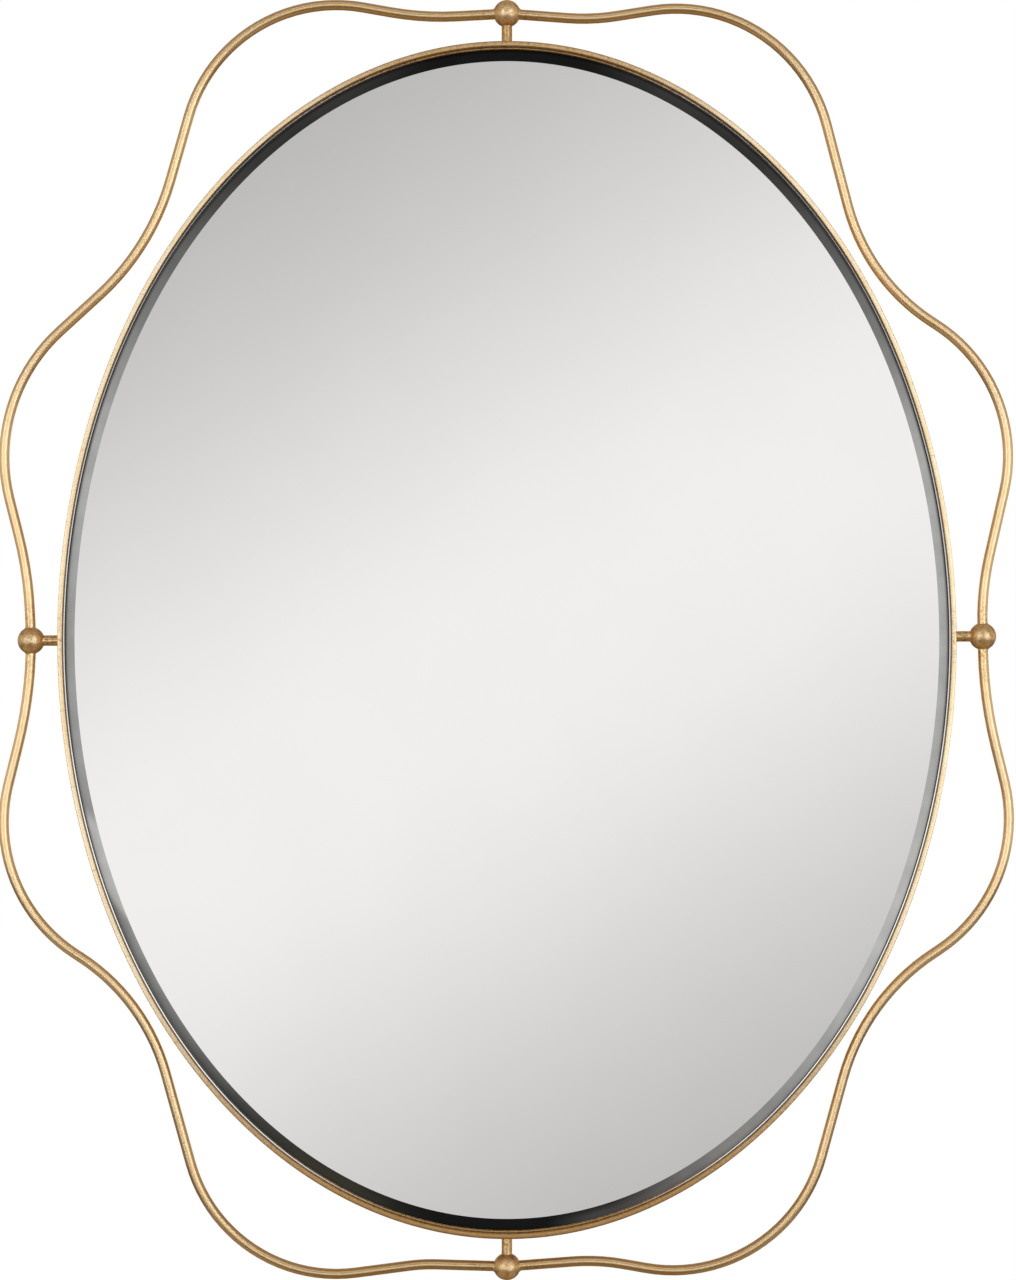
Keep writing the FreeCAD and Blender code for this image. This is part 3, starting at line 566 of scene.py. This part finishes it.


# %% [markdown]
# The hoop was rubbed smooth and is palest. Toward the top and the bottom the hoop, the bars and
# the posts are painted browner, as worn leaf and as painted shade for the dimmer light there. Its
# outer wall was rubbed less and stays satin. The bars are even, and the balls and posts are the
# roughest, as small pieces are the hardest to gild. Five materials could be written out one by
# one, but they differ only in how far each kind of wear and painted shade goes.

# %% Leaf on each kind of piece
BAND_GOLD = (1.0, 0.845, 0.58, 1)
leaf_on_band = gold_leaf("gold_leaf_band", wear=0.08, speckle=0.4, shine=0.24, grit=0.12, crumble=0.9,
                         end_shade_and_wear=(0.70, 0.9), base=BAND_GOLD, sparkle=0.20, laps=0.55)
leaf_on_side = gold_leaf("gold_leaf_hoop_side", wear=0.20, speckle=0.6, shine=0.52, grit=0.16, crumble=0.9,
                         end_shade_and_wear=(0.2, 0.2), base=BAND_GOLD, sparkle=0.30, laps=0.8)
leaf_on_rods = gold_leaf("gold_leaf_rods", wear=0.16, speckle=0.15, shine=0.25, grit=0.08, crumble=0.60,
                         end_shade_and_wear=(0.17, 0.23))
leaf_on_posts = gold_leaf("gold_leaf_posts", wear=0.50, speckle=0.8, shine=0.30, grit=0.34, crumble=0.95,
                          end_shade_and_wear=(0.62, 0.36))
leaf_on_balls = gold_leaf("gold_leaf_balls", wear=0.35, speckle=1.0, shine=0.32, grit=0.26, crumble=0.50)


def dress(names, finish):
    """Puts one finish on whole solids."""
    for name in names:
        solids[name].data.materials.clear()
        solids[name].data.materials.append(finish)
        for polygon in solids[name].data.polygons:
            polygon.material_index = 0


QUARTERS = ("upper_left", "upper_right", "lower_left", "lower_right")
STATIONS = ("top", "bottom", "left", "right")
dress([f"wavy_rod_{quarter}" for quarter in QUARTERS], leaf_on_rods)
dress([f"post_{word}" for word in STATIONS], leaf_on_posts)
dress([f"ball_{word}" for word in STATIONS], leaf_on_balls)
print("twelve solids gilded")

# %% [markdown]
# ## Rings of points
# The hoop and the glass are both ovals that keep one section all the way round. Either could be
# a curve with a profile, but an oval's width and height offsets differ, so here each line of the
# section is its own oval of points, and strips of faces join one oval to the next.

# %% Oval strips
ROUND_STEPS = 768
WOBBLE_SCALE = 95.0


def oval_points(half_width, half_height, front, wobble=0.0):
    """One oval, at a distance in front of the wall; wobble moves its points a little inward."""
    points = []
    for step in range(ROUND_STEPS):
        angle = 2 * math.pi * step / ROUND_STEPS
        point = Vector((half_width * math.cos(angle), -front, half_height * math.sin(angle)))
        if wobble:
            uneven = 0.5 + 0.5 * noise.noise(point * WOBBLE_SCALE)
            point -= Vector((point.x, 0, point.z)).normalized() * (wobble * uneven)
        points.append(point)
    return points


def strip_mesh(ovals, finish_of_strip, closed):
    """Joins each oval to the next. A closed section also joins the last oval to the first."""
    mesh = bmesh.new()
    rings = [[mesh.verts.new(point) for point in points] for points in ovals]
    pairs = list(zip(rings, rings[1:]))
    if closed:
        pairs.append((rings[-1], rings[0]))
    for number, (outer, inner) in enumerate(pairs):
        for step in range(ROUND_STEPS):
            after = (step + 1) % ROUND_STEPS
            face = mesh.faces.new((outer[step], outer[after], inner[after], inner[step]))
            face.smooth = True
            face.material_index = finish_of_strip[number]
    return mesh, rings


def finish_mesh(mesh, name, finishes, sharp_rings=()):
    """Turns a mesh in the making into a piece that rides on the mirror."""
    for ring in sharp_rings:
        for first, second in zip(ring, ring[1:] + ring[:1]):
            mesh.edges.get((first, second)).smooth = False
    bmesh.ops.recalc_face_normals(mesh, faces=mesh.faces)
    data = bpy.data.meshes.new(name)
    mesh.to_mesh(data)
    mesh.free()
    for finish in finishes:
        data.materials.append(finish)
    piece = bpy.data.objects.new(name, data)
    scene.collection.objects.link(piece)
    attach(piece, "mirror")
    return piece


print(f"ovals of {ROUND_STEPS} points")

# %% [markdown]
# ## The hoop round the glass
# Flat bar on edge, 25 mm deep and a little under 5 mm thick. Its front corners are softened by
# grinding and by the gilder's ground, so they catch a thin line of light. The CAD hoop is made
# of straight facets a few centimetres long, which show in a shine, so a finer hoop replaces it.

# %% Inner corner, worn and painted in shade
# Painted shade: the inner front corner is a darker brown gold than the leaf, standing for the shade along
# that corner; the rubbed-through patches are wear.
shaded_worn_arris, tree, shader, _ = new_finish("shaded_worn_arris")
rubbed_through = grain(tree, object_place(tree), 210.0, 4.0, 0.6)
feed(tree, blend_colours(tree, rubbed_through, (0.62, 0.36, 0.12, 1), (0.34, 0.17, 0.045, 1)),
     shader.inputs["Base Color"])
feed(tree, fade(tree, rubbed_through, 0.4, 0.6, 0.9, 0.5), shader.inputs["Metallic"])
feed(tree, 0.5, shader.inputs["Roughness"])
print("worn corner")

# %% [markdown]
# Inside, the hoop is painted near-black brown, a painted shade for the narrow gap between the
# hoop and the glass. Toward the top and the bottom it is painted dark gold broken by crumbs, which
# stands for the leafed wall seen in shade there.

# %% Shaded ground inside the hoop
SHADED_LEAF_INSIDE = (0.44, 0.55)
shaded_dark_ground, tree, shader, _ = new_finish("shaded_dark_ground")
place = object_place(tree)
# Painted shade: the inside wall is near-black brown, and dark gold toward the ends, standing for the shade in
# the recess between hoop and glass.
brushed_out = grain(tree, place, 160.0, 4.0, 0.6)
shaded_brown_ground = blend_colours(tree, brushed_out, (0.016, 0.010, 0.005, 1), (0.040, 0.024, 0.010, 1))
leaf_crumbs = fade(tree, crumb_noise(tree, place), 0.44, 0.58)
shaded_leafed_ground = blend_colours(tree, leaf_crumbs, (0.52, 0.30, 0.06, 1), (0.07, 0.03, 0.006, 1))
height = split_place(tree, place)["Z"]
near_end = fade(tree, calc(tree, "ABSOLUTE", height), *SHADED_LEAF_INSIDE)
feed(tree, blend_colours(tree, near_end, shaded_brown_ground, shaded_leafed_ground), shader.inputs["Base Color"])
feed(tree, times(tree, near_end, 0.7), shader.inputs["Metallic"])
feed(tree, 0.5, shader.inputs["Roughness"])
print("dark ground")

# %% [markdown]
# The section is one list of points, from the rear of the outer wall over both soft corners and
# back. A bevelled box would need the same points. A little wobble in each oval gives the
# hand-ground corners their uneven line. Each strip knows its finish: satin on the outer wall,
# leaf over the front, an inner corner worn and painted in shade, and ground inside and behind,
# painted dark as shade.

# %% Leafed hoop
BAND_INNER = (422.4 * MM, 564.3 * MM)
BAND_WALL = 4.76 * MM
BAND_REAR, BAND_FRONT = 1.0 * MM, 26.4 * MM
CORNER = 0.9 * MM
CORNER_STEPS = 6
REAR_CORNER = 0.3 * MM
WALL_HEIGHTS = (REAR_CORNER, 8 * MM, 17 * MM)
HAND_WOBBLE = 0.05 * MM


def band_oval(inset, front):
    """inset is the distance from the hoop's outer wall."""
    half_width, half_height = (half + BAND_WALL - inset for half in BAND_INNER)
    return oval_points(half_width, half_height, front, HAND_WOBBLE)


section = [(0.0, BAND_REAR + height) for height in WALL_HEIGHTS]
for step in range(CORNER_STEPS + 1):
    angle = math.pi / 2 * step / CORNER_STEPS
    section.append((CORNER * (1 - math.cos(angle)), BAND_FRONT - CORNER * (1 - math.sin(angle))))
section.append((BAND_WALL / 2, BAND_FRONT))
outer_half = section[:]
section += [(BAND_WALL - inset, front) for inset, front in reversed(outer_half[:-1])]
section += [(BAND_WALL - REAR_CORNER, BAND_REAR), (REAR_CORNER, BAND_REAR)]
LEAFED, SHADED_WORN, SHADED_GROUND, SATIN = range(4)
SHADED_GROUND_STRIPS = 6
first_leafed = len(WALL_HEIGHTS)
first_shaded_ground = len(section) - SHADED_GROUND_STRIPS
first_shaded_worn = first_shaded_ground - CORNER_STEPS + 1
finish_of_strip = [SATIN] * first_leafed + [LEAFED] * (first_shaded_worn - first_leafed)
finish_of_strip += [SHADED_WORN] * (first_shaded_ground - first_shaded_worn) + [SHADED_GROUND] * SHADED_GROUND_STRIPS
mesh, _ = strip_mesh([band_oval(inset, front) for inset, front in section], finish_of_strip, closed=True)
hoop = finish_mesh(mesh, "leafed_hoop", [leaf_on_band, shaded_worn_arris, shaded_dark_ground, leaf_on_side])
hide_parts("rim_band")
print(f"hoop: {len(hoop.data.vertices)} points")

# %% [markdown]
# ## The glass
# Silvered float glass, 5 mm thick. A bevel as wide as a thumbnail slopes down to the edge and
# turns the reflection away to the side, which is why it looks dark above and below and grey at
# the sides. Outside it the sharp corner is ground off, and that frosted seam catches light as a
# thin pale line. Glass over a silver layer could be modelled, but at this size a mirror-bright
# front with true slopes gives the same picture with less noise.

# %% Mirror finishes
FIELD = (411.1 * MM, 550.4 * MM)
BEVEL = (10.0 * MM, 12.1 * MM)
SEAM_SHADOW_FROM, SEAM_SHADOW_TO = 0.9915, 0.9965
BLACK = (0, 0, 0, 1)


def shadow_beside_seam(tree, place):
    """1 on the last two millimetres of the bevel, a painted shadow of the hoop beside the seam, and less
    lower down.
    """
    across, _, upward = split_place(tree, place)
    outward = diagonal(tree, calc(tree, "DIVIDE", across, FIELD[0] + BEVEL[0]),
                       calc(tree, "DIVIDE", upward, FIELD[1] + BEVEL[1]))
    return times(tree, fade(tree, outward, SEAM_SHADOW_FROM, SEAM_SHADOW_TO),
                 fade(tree, upward, -0.22, 0.02, 0.35, 1.0))


def silvering(name, tint, roughness_high, patch_scale, patch_share, seam_shadow_depth=0.0):
    """patch_share: how bright the faintly duller patches are beside the rest.
    seam_shadow_depth: how dark the painted shadow beside the seam makes the silver."""
    made, tree, shader, _ = new_finish(name)
    place = object_place(tree)
    haze = grain(tree, place, patch_scale, 3.0)
    duller = tuple(patch_share * part for part in tint[:3]) + (1,)
    silver = blend_colours(tree, fade(tree, haze, 0.25, 0.75), tint, duller)
    # Painted shadow: beside the seam the silver is blended toward black, standing for the hoop's shade on the
    # bevel, weaker on the lower half.
    if seam_shadow_depth:
        silver = blend_colours(tree, times(tree, shadow_beside_seam(tree, place), seam_shadow_depth), silver, BLACK)
    feed(tree, silver, shader.inputs["Base Color"])
    feed(tree, 1.0, shader.inputs["Metallic"])
    feed(tree, fade(tree, haze, 0.3, 0.8, 0.0, roughness_high), shader.inputs["Roughness"])
    return made


silver_field = silvering("silvered_field", (GLASS_TINT, GLASS_TINT * 0.995, GLASS_TINT, 1),
                         roughness_high=0.004, patch_scale=9.0, patch_share=0.985)
silver_bevel = silvering("polished_bevel", (0.94, 0.945, 0.935, 1),
                         roughness_high=0.015, patch_scale=42.0, patch_share=0.86, seam_shadow_depth=0.55)
print("two silverings")

# %% [markdown]
# The seam is rough glass that gathers light from everywhere, so it glows palest low down, where
# the bright card is beyond it. Ray-traced glass would find that by itself, slowly and with noise;
# here a weak emission paints that light in. At the top and the bottom its colour and glow are
# painted gold-brown, a painted reflection of the leafed hoop beside it, broken by the same crumbs.

# %% Frosted seam
HOOP_REFLECTION_AT_SEAM = (0.47, 0.555)
ground_seam, tree, shader, _ = new_finish("ground_seam")
place = object_place(tree)
frost = grain(tree, place, 900.0, 3.0)
pale_frost = blend_colours(tree, frost, (0.92, 0.93, 0.92, 1), (0.78, 0.80, 0.79, 1))
height = split_place(tree, place)["Z"]
near_end = fade(tree, calc(tree, "ABSOLUTE", height), *HOOP_REFLECTION_AT_SEAM)
# Painted reflection: toward the top and the bottom the seam's colour turns gold-brown, standing for the
# leafed hoop that it reflects.
seam_colour = blend_colours(tree, near_end, pale_frost, (0.50, 0.30, 0.11, 1))
feed(tree, seam_colour, shader.inputs["Base Color"])
low_shine = times(tree, fade(tree, height, -0.06, -0.16), fade(tree, height, -0.48, -0.40), 0.2)
glow = total(tree, fade(tree, height, 0.52, -0.10, 0.06, 0.66), low_shine)
# Painted reflection: the glow turns gold-brown toward the top and the bottom too, broken by the crumbs of the
# reflected leaf.
glow_colour = blend_colours(tree, near_end, (0.98, 1.0, 0.97, 1), (0.30, 0.17, 0.06, 1))
feed(tree, glow_colour, shader.inputs["Emission Color"])
end_glow = times(tree, near_end, fade(tree, height, -0.5, 0.5, 0.40, 0.62))
leaf_crumbs = fade(tree, crumb_noise(tree, place), 0.42, 0.60, 1.45, 0.35)
glow = calc(tree, "MAXIMUM", glow, times(tree, end_glow, leaf_crumbs))
feed(tree, glow, shader.inputs["Emission Strength"])
feed(tree, fade(tree, frost, 0.3, 0.7, 0.35, 0.6), shader.inputs["Roughness"])
feed(tree, 0.8, shader.inputs["Specular IOR Level"])
print(f"seam: {len(tree.nodes)} nodes")

# %% [markdown]
# The cut edge and the painted back hardly show. One noise each is enough: it moves the green of
# thick glass for one, and leaves brush streaks in grey paint for the other.

# %% Cut edge and paint of the back
edge_green = (0.30, 0.38, 0.35, 1), (0.42, 0.50, 0.47, 1)
paint_grey = (0.20, 0.22, 0.23, 1), (0.26, 0.28, 0.29, 1)

cut_edge, tree, shader, _ = new_finish("cut_edge")
frost = grain(tree, object_place(tree), 600.0, 3.0)
feed(tree, blend_colours(tree, frost, *edge_green), shader.inputs["Base Color"])
feed(tree, 0.45, shader.inputs["Roughness"])

backing_paint, tree, shader, _ = new_finish("silver_backing_paint")
streaks = grain(tree, object_place(tree), 40.0, 4.0, 0.6)
feed(tree, blend_colours(tree, streaks, *paint_grey), shader.inputs["Base Color"])
feed(tree, 0.55, shader.inputs["Roughness"])
print("cut edge and paint")

# %% [markdown]
# The glass is built like the hoop: flat field, bevel, frosted seam, cut edge and painted back
# are strips between ovals. A Bevel modifier on a disc would give one flat slope. This bevel swells
# by a few hundredths of a millimetre, as a polishing wheel leaves it, and so its outer part looks
# further aside than its inner part.

# %% Bevelled glass
BEVEL_DROP = 1.8 * MM
BEVEL_BULGE = 0.07 * MM
SEAM = 1.1 * MM
GLASS_FRONT, GLASS_REAR = 22.1 * MM, 17.1 * MM
seam_line = [field + bevel for field, bevel in zip(FIELD, BEVEL)]
edge_line = [half + SEAM for half in seam_line]
mid_bevel = [field + bevel / 2 for field, bevel in zip(FIELD, BEVEL)]
FIELD_SHARES = (0.8, 0.6, 0.4, 0.2)


def field_ovals(shares, front):
    return [oval_points(FIELD[0] * share, FIELD[1] * share, front) for share in shares]


ovals = field_ovals(reversed(FIELD_SHARES), GLASS_REAR)
ovals += [oval_points(*edge_line, GLASS_REAR)]
ovals += [oval_points(*edge_line, GLASS_FRONT - BEVEL_DROP - SEAM)]
ovals += [oval_points(*seam_line, GLASS_FRONT - BEVEL_DROP)]
ovals += [oval_points(*mid_bevel, GLASS_FRONT - BEVEL_DROP / 2 + BEVEL_BULGE)]
ovals += [oval_points(*FIELD, GLASS_FRONT)]
ovals += field_ovals(FIELD_SHARES, GLASS_FRONT)
PAINT, EDGE, SEAMED, BEVELLED, SILVERED = range(5)
finish_of_strip = [PAINT] * 4 + [EDGE, SEAMED, BEVELLED, BEVELLED] + [SILVERED] * 4
mesh, rings = strip_mesh(ovals, finish_of_strip, closed=False)
for ring, depth, finish in ((rings[0], GLASS_REAR, PAINT), (rings[-1], GLASS_FRONT, SILVERED)):
    middle = mesh.verts.new((0, -depth, 0))
    for first, second in zip(ring, ring[1:] + ring[:1]):
        face = mesh.faces.new((first, second, middle))
        face.smooth = True
        face.material_index = finish
rear_edge, front_edge, seam_ring, _, field_ring = rings[4:9]
glass = finish_mesh(mesh, "bevelled_glass",
                    [backing_paint, cut_edge, ground_seam, silver_bevel, silver_field],
                    sharp_rings=[rear_edge, front_edge, seam_ring, field_ring])
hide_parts("mirror_glass")
print(f"glass: {len(glass.data.polygons)} faces")

# %% [markdown]
# ## Gesso collars
# Where a bar enters a ball the maker brazes it, and the gilder's ground then fills the corner, so
# no joint is a sharp step. A bevel or a merged mesh could round it, but the solids stay apart
# here. Each collar is a small hollow curve turned round the bar, uneven as brushed gesso is.

# %% Turned collars
TURN_STEPS = 40
ARC_STEPS = 7
FILLET, FILLET_UNEVEN = 1.15, 0.45
BRUSH_SCALE = 160.0
SUNK_ALONG, SUNK_IN = 0.1 * MM, 0.05 * MM
SUNK_IN_WALL = 0.04 * MM


def collar(name, start, along, curve_at, finish):
    """curve_at(fillet) gives (distance along, distance from the axis) pairs for one side."""
    mesh = bmesh.new()
    along = along.normalized()
    aside = along.orthogonal().normalized()
    third = along.cross(aside)
    rings = []
    for step in range(TURN_STEPS):
        angle = 2 * math.pi * step / TURN_STEPS
        out = aside * math.cos(angle) + third * math.sin(angle)
        uneven = noise.noise((start + out * 10 * MM) * BRUSH_SCALE)
        pairs = curve_at((FILLET + FILLET_UNEVEN * uneven) * MM)
        rings.append([mesh.verts.new(start + along * run + out * radius) for run, radius in pairs])
    for ring, after in zip(rings, rings[1:] + rings[:1]):
        for number in range(len(ring) - 1):
            mesh.faces.new((ring[number], ring[number + 1], after[number + 1], after[number])).smooth = True
    piece = finish_mesh(mesh, name, [finish])


def ball_corner(ball_radius, bar_radius):
    """A hollow curve that touches the ball on one end and the bar on the other."""
    def curve_at(fillet):
        run = math.sqrt((ball_radius + fillet) ** 2 - (bar_radius + fillet) ** 2)
        first = math.atan2(-(bar_radius + fillet), -run)
        last = -math.pi / 2
        pairs = []
        for step in range(ARC_STEPS):
            angle = first + (last - first) * step / (ARC_STEPS - 1)
            pairs.append((run + fillet * math.cos(angle), bar_radius + fillet * (1 + math.sin(angle))))
        first_run, first_radius = pairs[0]
        return [(first_run - SUNK_ALONG, first_radius - SUNK_IN)] + pairs
    return curve_at


def wall_corner(bar_radius):
    """The same against the hoop's outer wall, which is nearly flat at this size."""
    def curve_at(fillet):
        pairs = []
        for step in range(ARC_STEPS):
            angle = -math.pi + math.pi / 2 * step / (ARC_STEPS - 1)
            pairs.append((fillet * (1 + math.cos(angle)) - SUNK_IN_WALL,
                          bar_radius + fillet * (1 + math.sin(angle)) - SUNK_IN_WALL))
        return pairs
    return curve_at


print(f"collars of {TURN_STEPS} sides")

# %% [markdown]
# Three collars sit on each ball, two for the wavy bars and one for the post, and a fourth sits
# where the post meets the hoop. The bars leave each ball at their own slant, which is read from
# the solids, so the collars follow if the bars change.

# %% Collars at the balls and at the hoop
BALL_RADIUS, ROD_RADIUS, POST_RADIUS = 12.9 * MM, 4.85 * MM, 5.0 * MM
END_FACE_REACH = 10 * MM
MEETING_RODS = {"top": ("upper_left", "upper_right"), "bottom": ("lower_left", "lower_right"),
                "left": ("upper_left", "lower_left"), "right": ("upper_right", "lower_right")}


def middle_of(solid):
    corners = [solid.matrix_world @ Vector(corner) for corner in solid.bound_box]
    return sum(corners, Vector()) / len(corners)


def heading_out(rod, ball_centre):
    """The rod's end face, hidden inside the ball, looks straight back along the rod."""
    facing = Vector()
    for face in rod.data.polygons:
        corners = [rod.matrix_world @ rod.data.vertices[number].co for number in face.vertices]
        if all((corner - ball_centre).length < END_FACE_REACH for corner in corners):
            facing += face.normal * face.area
    return -facing


collar_count = 0
for station in STATIONS:
    centre = middle_of(solids[f"ball_{station}"])
    for quarter in MEETING_RODS[station]:
        heading = heading_out(solids[f"wavy_rod_{quarter}"], centre)
        collar(f"collar_{station}_{quarter}", centre, heading, ball_corner(BALL_RADIUS, ROD_RADIUS),
               leaf_on_balls)
        collar_count += 1
    at_side = abs(centre.x) > abs(centre.z)
    inward = Vector((-centre.x, 0, 0) if at_side else (0, 0, -centre.z)).normalized()
    collar(f"collar_{station}_post", centre, inward, ball_corner(BALL_RADIUS, POST_RADIUS),
           leaf_on_posts)
    foot = Vector(centre)
    if at_side:
        narrowing = math.sqrt(1 - (centre.z / BAND_INNER[1]) ** 2)
        foot.x = -inward.x * (BAND_INNER[0] + BAND_WALL) * narrowing
    else:
        foot.z = -inward.z * (BAND_INNER[1] + BAND_WALL)
    collar(f"collar_{station}_hoop", foot, -inward, wall_corner(POST_RADIUS),
           leaf_on_posts)
    collar_count += 2
    print(f"{station}: ball at {[round(value * 1000, 2) for value in centre]}")
print(f"{collar_count} collars")

# %% [markdown]
# ## Paint, zinc, felt and foam on the back
# Nobody sees the back on the wall, but whoever hangs the mirror does. Five plain finishes could
# each have a tree of their own, but they differ only in their numbers. So one function makes
# them all, with one noise for colour and one for the surface, at the size of the real stuff.

# %% Back finishes
FINER = 9


def plain_finish(name, first, second, scale, roughness, relief, metallic=0.0, fuzz=0.0):
    """first and second: the two tones. scale: size of the noise. relief: depth of the surface."""
    made, tree, shader, _ = new_finish(name)
    place = object_place(tree)
    clouds = grain(tree, place, scale, 4.0, 0.6)
    fine = grain(tree, place, scale * FINER, 3.0, 0.6)
    tone = blend_colours(tree, fade(tree, clouds, 0.35, 0.65), first, second)
    tone = blend_colours(tree, fade(tree, fine, 0.4, 0.8, 0.0, 0.4), tone, second)
    feed(tree, tone, shader.inputs["Base Color"])
    feed(tree, metallic, shader.inputs["Metallic"])
    feed(tree, fade(tree, fine, 0.3, 0.7, roughness - 0.08, roughness + 0.08), shader.inputs["Roughness"])
    feed(tree, fuzz, shader.inputs["Sheen Weight"])
    bump = tree.nodes.new("ShaderNodeBump")
    feed(tree, 0.6, bump.inputs["Strength"])
    feed(tree, relief, bump.inputs["Distance"])
    feed(tree, fine, bump.inputs["Height"])
    feed(tree, bump.outputs[0], shader.inputs["Normal"])
    print(name)
    return made


black_board = plain_finish("black_board", (0.034, 0.031, 0.029, 1), (0.047, 0.043, 0.040, 1),
                           scale=24, roughness=0.62, relief=0.3 * MM)
black_steel = plain_finish("black_steel", (0.030, 0.029, 0.028, 1), (0.050, 0.048, 0.046, 1),
                           scale=120, roughness=0.38, relief=0.2 * MM)
zinc_steel = plain_finish("zinc_steel", (0.62, 0.62, 0.60, 1), (0.50, 0.51, 0.50, 1),
                          scale=300, roughness=0.30, relief=0.05 * MM, metallic=1.0)
grey_felt = plain_finish("grey_felt", (0.13, 0.125, 0.12, 1), (0.20, 0.19, 0.185, 1),
                         scale=500, roughness=0.92, relief=0.6 * MM, fuzz=0.5)
foam_tape = plain_finish("foam_tape", (0.80, 0.80, 0.78, 1), (0.70, 0.70, 0.68, 1),
                         scale=700, roughness=0.85, relief=0.4 * MM)
dress(["backing_board"], black_board)
dress(["mounting_tabs", "hanger_plate_left", "hanger_plate_right"], black_steel)
dress(["tab_screws", "hanger_strap_left", "hanger_strap_right", "d_ring_left", "d_ring_right",
       "hanger_screws_left", "hanger_screws_right"], zinc_steel)
dress(["wall_felt"], grey_felt)
dress(["mirror_tape"], foam_tape)

# %% [markdown]
# ## Weld beads behind
# The six tabs and the two hanger plates are welded to the hoop from behind, where nobody sees
# it. A bead is a row of overlapping puddles of metal, one for each dip of the rod. It could be a
# bump on a strip; as a small mesh it also reads from the side. It is painted black like the tabs.

# %% Weld beads
PLATE_REAR = 8.0 * MM
TAB_WIDTH = 25.0 * MM
HANGER_PLATE_WIDTH = 40.0 * MM
HANGER_ACROSS = 250.0 * MM
PUDDLE = 2.1 * MM
PUDDLE_STEPS = 4
END_MARGINS = 2 * MM
BEAD_RADIUS = 1.5 * MM
BEAD_FROM, BEAD_ARC = math.radians(-12), math.radians(114)
BEAD_STEPS = 8
RIPPLE = 0.20
END_SHARE, END_STEEPNESS = 0.45, 12
UNEVEN, UNEVEN_SCALE = 0.15, 300


def hoop_wall(angle):
    """A point of the hoop's inner wall at the plates' rear face."""
    return Vector((BAND_INNER[0] * math.cos(angle), -PLATE_REAR, BAND_INNER[1] * math.sin(angle)))


def bead(mesh, middle_angle, width):
    """A rippled half-round along the wall, a given width long."""
    count = round(width / PUDDLE)
    speed = math.hypot(BAND_INNER[0] * math.sin(middle_angle), BAND_INNER[1] * math.cos(middle_angle))
    rings = []
    for step in range(count * PUDDLE_STEPS + 1):
        share = step / (count * PUDDLE_STEPS) - 0.5
        angle = middle_angle + share * (width - END_MARGINS) / speed
        centre = hoop_wall(angle)
        inward = -Vector((math.cos(angle) / BAND_INNER[0], 0, math.sin(angle) / BAND_INNER[1])).normalized()
        ripple = 1 - RIPPLE + RIPPLE * abs(math.sin(math.pi * step / PUDDLE_STEPS))
        taper = min(1.0, (0.5 - abs(share)) * END_STEEPNESS + END_SHARE)
        uneven = 1 + UNEVEN * noise.noise(centre * UNEVEN_SCALE)
        radius = BEAD_RADIUS * ripple * taper * uneven
        ring = []
        for turn_step in range(BEAD_STEPS + 1):
            around = BEAD_FROM + BEAD_ARC * turn_step / BEAD_STEPS
            ring.append(mesh.verts.new(centre + inward * (radius * math.sin(around))
                                       + Vector((0, radius * math.cos(around), 0))))
        rings.append(ring)
    for ring, after in zip(rings, rings[1:]):
        for number in range(BEAD_STEPS):
            mesh.faces.new((ring[number], ring[number + 1], after[number + 1], after[number])).smooth = True
    for ring in (rings[0], rings[-1]):
        mesh.faces.new(ring)


print(f"puddles {PUDDLE * 1000:.1f} mm apart")

# %% [markdown]
# The tabs stand at six angles round the oval, and each hanger plate runs up to the hoop above
# its ring. All the beads make one mesh, because one hand laid them with one rod.

# %% Beads at the tabs and the hanger plates
TAB_ANGLES = (18, 162, 198, 342, 248, 292)
SLANT = 1.2
mesh = bmesh.new()
for degrees in TAB_ANGLES:
    bead(mesh, math.radians(degrees), TAB_WIDTH)
for side in (-1, 1):
    bead(mesh, math.acos(side * HANGER_ACROSS / BAND_INNER[0]), HANGER_PLATE_WIDTH * SLANT)
beads = finish_mesh(mesh, "weld_beads", [black_steel])
print(f"weld beads: {len(beads.data.polygons)} faces")
